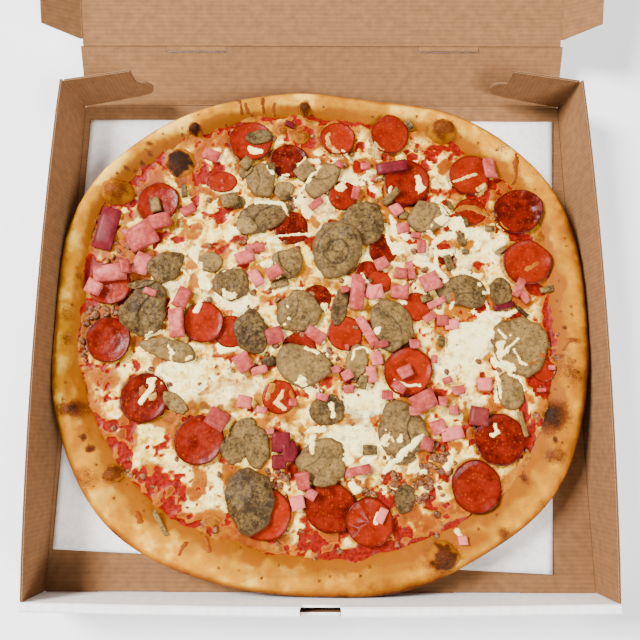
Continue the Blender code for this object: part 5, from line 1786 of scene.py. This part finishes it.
@dataclass
class Scatter:
    """Small crumbs strewn over a surface by Geometry Nodes, thickest where it is painted."""

    name: str
    slot: str
    density: float
    size: tuple[float, float]
    flat: float
    seed: int

    def tree(self, finish: Material) -> NodeTree:
        """Return the node group, with density, sizes and seed as named inputs.

        Args:
            finish: the crumbs' material.

        Returns:
            The node group.
        """
        group = bpy.data.node_groups.new(self.name + "_nodes", "GeometryNodeTree")
        face = group.interface
        face.new_socket("Geometry", in_out="INPUT", socket_type="NodeSocketGeometry")
        for label, kind, value in (("Density", "NodeSocketFloat", self.density),
                                   ("Smallest", "NodeSocketFloat", self.size[0]),
                                   ("Largest", "NodeSocketFloat", self.size[1]),
                                   ("Flatness", "NodeSocketFloat", self.flat),
                                   ("Seed", "NodeSocketInt", self.seed)):
            face.new_socket(label, in_out="INPUT", socket_type=kind).default_value = value
        face.new_socket("Geometry", in_out="OUTPUT", socket_type="NodeSocketGeometry")
        given = node(group, "NodeGroupInput").outputs
        paint = node(group, "GeometryNodeInputNamedAttribute", {"Name": "crumbs"}, data_type="FLOAT")
        many = node(group, "Math", {0: paint.outputs[0], 1: given["Density"]},
                    operation="MULTIPLY")
        spots = node(group, "GeometryNodeDistributePointsOnFaces",
                     {"Mesh": given["Geometry"], "Density": many.outputs[0], "Seed": given["Seed"]})
        crumb = node(group, "GeometryNodeMeshIcoSphere", {"Radius": 1.0, "Subdivisions": 2})
        lumps = node(group, "TexNoise", {"Scale": 0.9, "Detail": 2.0})
        shift = node(group, "VectorMath", {0: lumps.outputs["Color"], 1: (0.5, 0.5, 0.5)},
                     operation="SUBTRACT")
        bent = node(group, "GeometryNodeSetPosition", {"Geometry": crumb.outputs["Mesh"],
                                                       "Offset": shift.outputs[0]})
        sizes = node(group, "FunctionNodeRandomValue",
                     {2: given["Smallest"], 3: given["Largest"], "Seed": given["Seed"]},
                     data_type="FLOAT")
        wide = node(group, "FunctionNodeRandomValue", {2: 0.55, 3: 1.0, "Seed": 3},
                    data_type="FLOAT")
        width = node(group, "Math", {0: sizes.outputs[1], 1: wide.outputs[1]},
                     operation="MULTIPLY")
        low = node(group, "Math", {0: sizes.outputs[1], 1: given["Flatness"]},
                   operation="MULTIPLY")
        scale = node(group, "CombineXYZ", {0: sizes.outputs[1], 1: width.outputs[0],
                                                     2: low.outputs[0]})
        turn = node(group, "FunctionNodeRandomValue", {0: (-0.5, -0.5, 0.0), 1: (0.5, 0.5, 6.28),
                                                       "Seed": 7}, data_type="FLOAT_VECTOR")
        strewn = node(group, "GeometryNodeInstanceOnPoints",
                      {"Points": spots.outputs["Points"], "Instance": bent.outputs[0],
                       "Rotation": turn.outputs[0], "Scale": scale.outputs[0]})
        real = node(group, "GeometryNodeRealizeInstances", {0: strewn.outputs[0]})
        coated = node(group, "GeometryNodeSetMaterial", {"Geometry": real.outputs[0],
                                                         "Material": finish})
        smooth = node(group, "GeometryNodeSetShadeSmooth", {"Geometry": coated.outputs[0],
                                                            "Shade Smooth": True})
        node(group, "NodeGroupOutput", {0: smooth.outputs[0]})
        return group

    def build(self, base: Object, clusters: Sequence[Spot], everywhere: float,
              finish: Material) -> Object:
        """Strew the crumbs over the top of a piece.

        Args:
            base: the piece they lie on.
            clusters: where they lie thickest.
            everywhere: their share elsewhere.
            finish: their material.

        Returns:
            The crumbs as one mesh piece.
        """
        mesh = base.data.copy()
        points = np.empty(len(mesh.vertices) * 3, np.float32)
        mesh.vertices.foreach_get("co", points)
        x, y, z = points.reshape(-1, 3).T.astype(float)
        paint = np.maximum(Patch(self.seed).paint(x, y, clusters, 0.5), everywhere)
        paint = np.where((z > 15.5 * MM) & (np.hypot(x, y) < 0.182), paint, 0)
        mesh.attributes.new("crumbs", "FLOAT", "POINT").data.foreach_set(
            "value", paint.astype(np.float32))
        holder = placed(self.name + "_base", mesh)
        modifier = holder.modifiers.new("strew", "NODES")
        modifier.node_group = self.tree(finish)
        for item in modifier.node_group.interface.items_tree:
            if item.item_type == "SOCKET" and item.in_out == "INPUT" and item.name != "Geometry":
                modifier[item.identifier] = item.default_value
        shown = holder.evaluated_get(bpy.context.evaluated_depsgraph_get())
        made = bpy.data.meshes.new_from_object(shown)
        made.name = self.name
        bpy.data.objects.remove(holder)
        piece = placed(self.name, made)
        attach(piece, "tray")
        log.info("%s: %d faces", self.name, len(made.polygons))
        return piece


MINCE: tuple[Spot, ...] = Spot.table(
    (99, 314, 19, 13), (81, 353, 6, 12), (438, 460, 20, 13), (422, 484, 10, 7), (378, 491, 15, 7),
    (389, 482, 9, 7), (278, 482, 14, 12), (267, 360, 8, 5), (400, 455, 14, 10, 0, 0.6),
    (360, 385, 12, 10, 0, 0.5), (260, 300, 16, 10, 0, 0.4), (330, 360, 14, 10, 0, 0.5),
    (300, 330, 10, 8, 0, 0.4), (440, 300, 14, 10, 0, 0.4), (455, 235, 10, 8, 0, 0.4),
    (300, 200, 10, 8, 0, 0.5), (245, 245, 10, 8, 0, 0.4), (120, 250, 8, 12, 0, 0.5),
    (350, 220, 10, 8, 0, 0.4), (415, 490, 18, 12, 0, 0.7))


@dataclass
class MeltedTop:
    """Strings and pools of cheese that melted over the slices after they were laid."""

    half: float = 195 * MM
    step: float = 0.66 * MM
    sink: float = 0.35 * MM
    level: float = 23 * MM
    thinnest: float = 0.12 * MM

    def build(self, pieces: Sequence[Object], finish: Material
              ) -> Object:
        """Build the skin over everything that lies below it.

        Args:
            pieces: what the cheese lies on.
            finish: its material.

        Returns:
            The piece.
        """
        tree = tree_of(pieces)
        axis = np.arange(-self.half, self.half, self.step)
        x, y = np.meshgrid(axis, axis, indexing="ij")
        noise = Noise(71)
        bent_x = x + 2.4 * MM * noise.fractal(x, y, 8 * MM, 4)
        bent_y = y + 2.4 * MM * noise.fractal(x + 0.6, y, 8 * MM, 4)
        thick, toast, fat = (np.zeros_like(x) for _ in range(3))
        wide = noise.fractal(x + 0.2, y + 0.1, 8 * MM, 2)
        lace = noise.fractal(x - 0.2, y + 0.3, 6.5 * MM, 3)
        for strand in STRANDS:
            line = [CAMERA.spot(px, py, self.level)
                    for px, py in zip(strand.line[::2], strand.line[1::2])]
            half = 0.5 * strand.width * PX
            away = np.full_like(x, 1.0)
            for (ax, ay), (bx, by) in zip(line, line[1:] or line):
                dx, dy = bx - ax, by - ay
                length = dx * dx + dy * dy
                u, v = bent_x - ax, bent_y - ay
                along = np.clip((u * dx + v * dy) / length, 0, 1) if length else 0
                away = np.minimum(away, np.hypot(u - along * dx, v - along * dy))
            loose = min(strand.width / 14, 1.0)
            swell = 0.92 + 0.3 * wide + loose * (1.2 * lace - 0.15)
            bulge = np.clip(1 - (away / (half * np.maximum(swell, 0.2))) ** 2, 0, 1) ** 0.7
            new = (0.75 - 0.25 * loose) * strand.thick * MM * bulge * (0.8 + 0.5 * lace)
            toast = np.where(new > thick, strand.toast, toast)
            fat = np.where(new > thick, strand.fat, fat)
            thick = np.maximum(thick, new)
        thick *= 1 + 0.18 * noise.fractal(x, y + 0.2, 4 * MM, 2)
        shown = thick > self.thinnest
        near = shown.copy()
        for shift in ((1, 0), (-1, 0), (0, 1), (0, -1), (1, 1), (-1, -1), (1, -1), (-1, 1)):
            near |= np.roll(shown, shift, (0, 1))
        ground = np.full_like(x, BED_LOW)
        for i, j in np.argwhere(near):
            ground[i, j] = top_at(tree, x[i, j], y[i, j], BED_LOW)
        soft = ground.copy()
        for _ in range(6):
            total, count = np.zeros_like(soft), np.zeros_like(soft)
            for shift in ((0, 0), (1, 0), (-1, 0), (0, 1), (0, -1)):
                total += np.where(np.roll(near, shift, (0, 1)), np.roll(soft, shift, (0, 1)), 0)
                count += np.roll(near, shift, (0, 1))
            soft = np.where(near, total / np.maximum(count, 1), soft)
        under = np.where(thick > 0.5 * MM, soft, np.minimum(soft, ground))
        top = np.maximum(under, ground - 0.6 * MM) + thick
        top = np.where(shown, top, ground - self.sink)
        keep = shown[:-1, :-1] | shown[1:, :-1] | shown[:-1, 1:] | shown[1:, 1:]
        bottom = np.minimum(ground, top) - self.sink - 0.3 * MM
        points, faces, used = height_body(x, y, top, bottom, keep)
        total = len(used)
        thin = smoothstep(0.1 * MM, 0.9 * MM, thick)
        melt = (1 - 0.6 * fat) * (0.2 + 0.8 * thin)
        paints = {"melt": np.tile(melt.ravel()[used], 2), "sauce": np.zeros(2 * total),
                  "fat": np.tile(fat.ravel()[used], 2), "toast": np.tile(toast.ravel()[used], 2)}
        return make_piece("melted_strings", points, faces, [finish], paints=paints)


BUBBLES: tuple[Spot, ...] = Spot.table(
    (179, 161, 18, 17), (117, 191, 17, 13, 12, 0.45), (442, 131, 16, 12, -20, 0.6),
    (195, 129, 7, 6.5, 0, 0.9), (305, 109, 7, 7, 0, 0.7), (301, 134, 9, 8, 0, 0.4),
    (282, 128, 6, 5, 0, 0.45), (112, 474, 11, 9, 0, 0.6), (443, 556, 15, 14, 0, 0.85),
    (210, 522, 10, 6, 0, 0.4), (121, 231, 9, 8, 30, 0.2))


class Bubbles:
    """Bubbles that rose in the oven and browned on top, at the rim and in the cheese."""

    LEVEL = 22 * MM

    def build(self, pieces: Sequence[Object]) -> Object:
        """Build the bubbles over what lies below them, as one piece.

        Args:
            pieces: what they rise from.

        Returns:
            The piece.
        """
        tree = tree_of(pieces)
        noise = Noise(33)
        spokes, rings = 64, np.linspace(1.0, 0.06, 16)
        turns = np.linspace(0, 2 * math.pi, spokes, endpoint=False)
        points, faces, chars, oils, bakes = [], [], [], [], []
        for number, spot in enumerate(BUBBLES):
            cx, cy = CAMERA.spot(spot.px, spot.py, self.LEVEL)
            jag = 1 + 0.16 * noise.fractal(0.02 * np.cos(turns) + number, 0.02 * np.sin(turns),
                                           13 * MM, 3)
            rise = 0.26 * min(spot.half_x, spot.half_y) * PX
            u = np.outer(rings, jag * spot.half_x * PX * np.cos(turns))
            v = np.outer(rings, jag * spot.half_y * PX * np.sin(turns))
            x, y = turned((cx, cy), u, v, spot.turn)
            ground = np.array([[top_at(tree, a, b, BED_LOW) for a, b in zip(*row)]
                               for row in zip(x, y)])
            share = rings[:, None] + 0 * x
            lump = noise.fractal(x, y, 5 * MM, 4)
            dome = (1 - share ** 2) * rise + 0.5 * MM * lump * smoothstep(1.0, 0.8, share)
            level = ground.max() * (1 - share ** 2) + ground * share ** 2
            z = level + dome - 0.5 * MM * smoothstep(0.86, 1.0, share)
            start = len(points)
            low = np.stack((x[0], y[0], z[0] - 1.2 * MM), -1)
            points += np.concatenate([low, np.stack((x, y, z), -1).reshape(-1, 3)]).tolist()
            points += [[cx, cy, float(z[0].min()) - 1.2 * MM], [cx, cy, float(z[-1].mean())]]
            char = spot.strength * (1.25 * smoothstep(1.1, 0.6, share + 0.4 * lump) - 0.2)
            grown = [np.concatenate([value[:1], value]).ravel() for value in
                     (char, smoothstep(0.55, 1.0, share), 0.4 + 0.5 * spot.strength + 0 * share)]
            for into, value in zip((chars, oils, bakes), grown):
                into += [*np.clip(value, 0, 1), 0.5, float(np.clip(value[-1], 0, 1))]
            faces += [tuple(start + i for i in face) for face in ring_faces(len(rings) + 1, spokes)]
        paints = {"bake": bakes, "oil": oils, "char": chars}
        return make_piece("baked_bubbles", points, faces, [bpy.data.materials["stone_baked_dough"]],
                          paints=paints)


class Toppings:
    """Everything that lies on the cheese."""

    LEVEL = 20 * MM

    def build(self, dough: Object, bed: Object) -> None:
        """Build the slices, the small pieces and the cheese over them.

        Args:
            dough: the dough piece.
            bed: the cheese piece.
        """
        slices = Slices()
        mince = FriedMince().build()
        strewn = Scatter("fried_mince_crumbs", "roast_meat", density=70000.0,
                         size=(1.3 * MM, 3.4 * MM), flat=0.6, seed=5)
        crumbs = strewn.build(bed, MINCE, 0.02, mince)
        below = self.draped("pepperoni_below", UNDER_PEPPERONI, tree_of([dough, bed]),
                            SliceKind.PEPPERONI, slices.finish[SliceKind.PEPPERONI], 1.3 * MM)
        slices.build_all()
        ground = [dough, bed, Bubbles().build([dough, bed]), crumbs, below, *slices.pieces]
        ground.append(self.draped("roast_meat_above", MORE_MEAT, tree_of(ground), SliceKind.MEAT,
                                  slices.finish[SliceKind.MEAT], 2.4 * MM))
        ham = CookedHam().build()
        dark = CookedHam("smoked_ham", "#7E2028", "#5C141A", "#3A0C10").build()
        bits = Bits(81)
        hams = [bits.replace(f"ham_{number:02d}", dark if number == 4 else ham, tone)
                for number, tone in enumerate((0.45, 0.55, 0.6, 0.5, 0.5))]
        tree = tree_of(ground + hams)
        bits.build("ham_dice", HAM_BITS, ham, "ham", tree)
        bits.build("smoked_ham_strips", DARK_HAM_BITS, dark, "ham", tree)
        bits.build("roast_meat_scraps", MEAT_BITS, slices.finish[SliceKind.MEAT], "roast_meat",
                   tree)
        MeltedTop().build(ground + hams, bpy.data.materials["melted_mozzarella"])

    def draped(self, name: str, shapes: Sequence[Spot], tree: BVHTree, kind: SliceKind,
               finish: Material, thick: float) -> Object:
        """Build slices that sag over what lies below them, all as one piece.

        Args:
            name: the piece's name.
            shapes: their places, half-sizes and turns in the photo.
            tree: what they rest on.
            kind: what they are.
            finish: their material.
            thick: their thickness.

        Returns:
            The piece.
        """
        spokes = 44
        noise = Noise(91)
        rings = ((0.5, 1.2), (0.97, 1.0), (1.0, 0.5), (0.97, 0.1), (0.9, 0), (0.75, 0), (0.6, 0),
                 (0.45, 0), (0.3, 0), (0.15, 0))
        ragged = 0.04 if kind is SliceKind.PEPPERONI else 0.16
        points, faces, edges, tones = [], [], [], []
        for number, shape in enumerate(shapes):
            cx, cy = CAMERA.spot(shape.px, shape.py, self.LEVEL)
            start = len(points)
            grounds = []
            for share, drop in rings:
                for j in range(spokes):
                    way = 2 * math.pi * j / spokes
                    jag = 1 + ragged * float(noise.fractal(0.02 * math.cos(way) + number,
                                                           0.02 * math.sin(way), 9 * MM, 4))
                    u = share * jag * shape.half_x * PX * math.cos(way)
                    v = share * jag * shape.half_y * PX * math.sin(way)
                    x, y = turned((cx, cy), u, v, shape.turn)
                    grounds.append(top_at(tree, x, y, BED_TOP))
                    points.append([x, y, -drop * thick])
                    edges.append(share)
            middle = float(np.median(grounds))
            rough = 0.4 * MM if kind is SliceKind.MEAT else 0.15 * MM
            for point, ground in zip(points[start:], grounds):
                point[2] += max(0.5 * (middle + ground), ground - 0.15 * MM) + 0.6 * thick
                point[2] += rough * float(noise.fractal(point[0], point[1], 4 * MM, 3))
            points += [[cx, cy, middle - 0.6 * thick], [cx, cy, points[-1][2]]]
            edges += [0.0, 0.0]
            tones += [0.5 + 0.2 * math.sin(3.3 * number)] * (len(points) - start)
            faces += [tuple(start + i for i in face) for face in ring_faces(len(rings), spokes)]
        paints = {"edge": edges, "tone": tones, "crease": np.zeros(len(edges))}
        return make_piece(name, points, faces, [finish], paints=paints)


@dataclass
class Studio:
    """A pale floor and soft light from the left, as in the photograph."""

    key: float = 350.0
    fill: float = 205.0
    world: float = 0.57

    def light(self, name: str, place: Sequence[float], target: Sequence[float], size: float,
              power: float) -> None:
        """Add a square soft light that points at a place."""
        data = bpy.data.lights.new(name, "AREA")
        data.size = size
        data.energy = power
        lamp = placed(name, data)
        lamp.location = place
        way = Vector(target) - Vector(place)
        lamp.rotation_euler = way.to_track_quat("-Z", "Y").to_euler()

    def build(self) -> None:
        """Build the floor, the world and the lights."""
        mesh = bpy.data.meshes.new("studio_floor")
        corners = ((-4, -4), (4, -4), (4, 4), (-4, 4))
        mesh.from_pydata([(x, y, -0.5 * MM) for x, y in corners], [], [(0, 1, 2, 3)])
        mesh.materials.append(PlainPaint().build())
        floor = placed("studio_floor", mesh)
        world = bpy.data.worlds.new("studio_world")
        bpy.context.scene.world = world
        world.use_nodes = True
        back = world.node_tree.nodes["Background"]
        back.inputs["Color"].default_value = (1.0, 1.0, 1.0, 1)
        back.inputs["Strength"].default_value = self.world
        self.light("key_light", (-2.2, 1.1, 2.3), (0, 0, 0), 1.1, self.key)
        self.light("fill_light", (2.0, -1.9, 2.4), (0, 0, 0), 1.5, self.fill)


def main() -> None:
    """Build the camera, the studio, the box and the pizza in order."""
    logging.basicConfig(level=logging.INFO, format="%(name)s: %(message)s")
    CAMERA.add()
    Studio().build()
    BoardBox().build()
    dough_form = Dough()
    PaperSheet().build(dough_form)
    dough = dough_form.build()
    bed = CheeseBed().build(dough_form, dough)
    Toppings().build(dough, bed)
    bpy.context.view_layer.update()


if __name__ == "__main__":
    main()
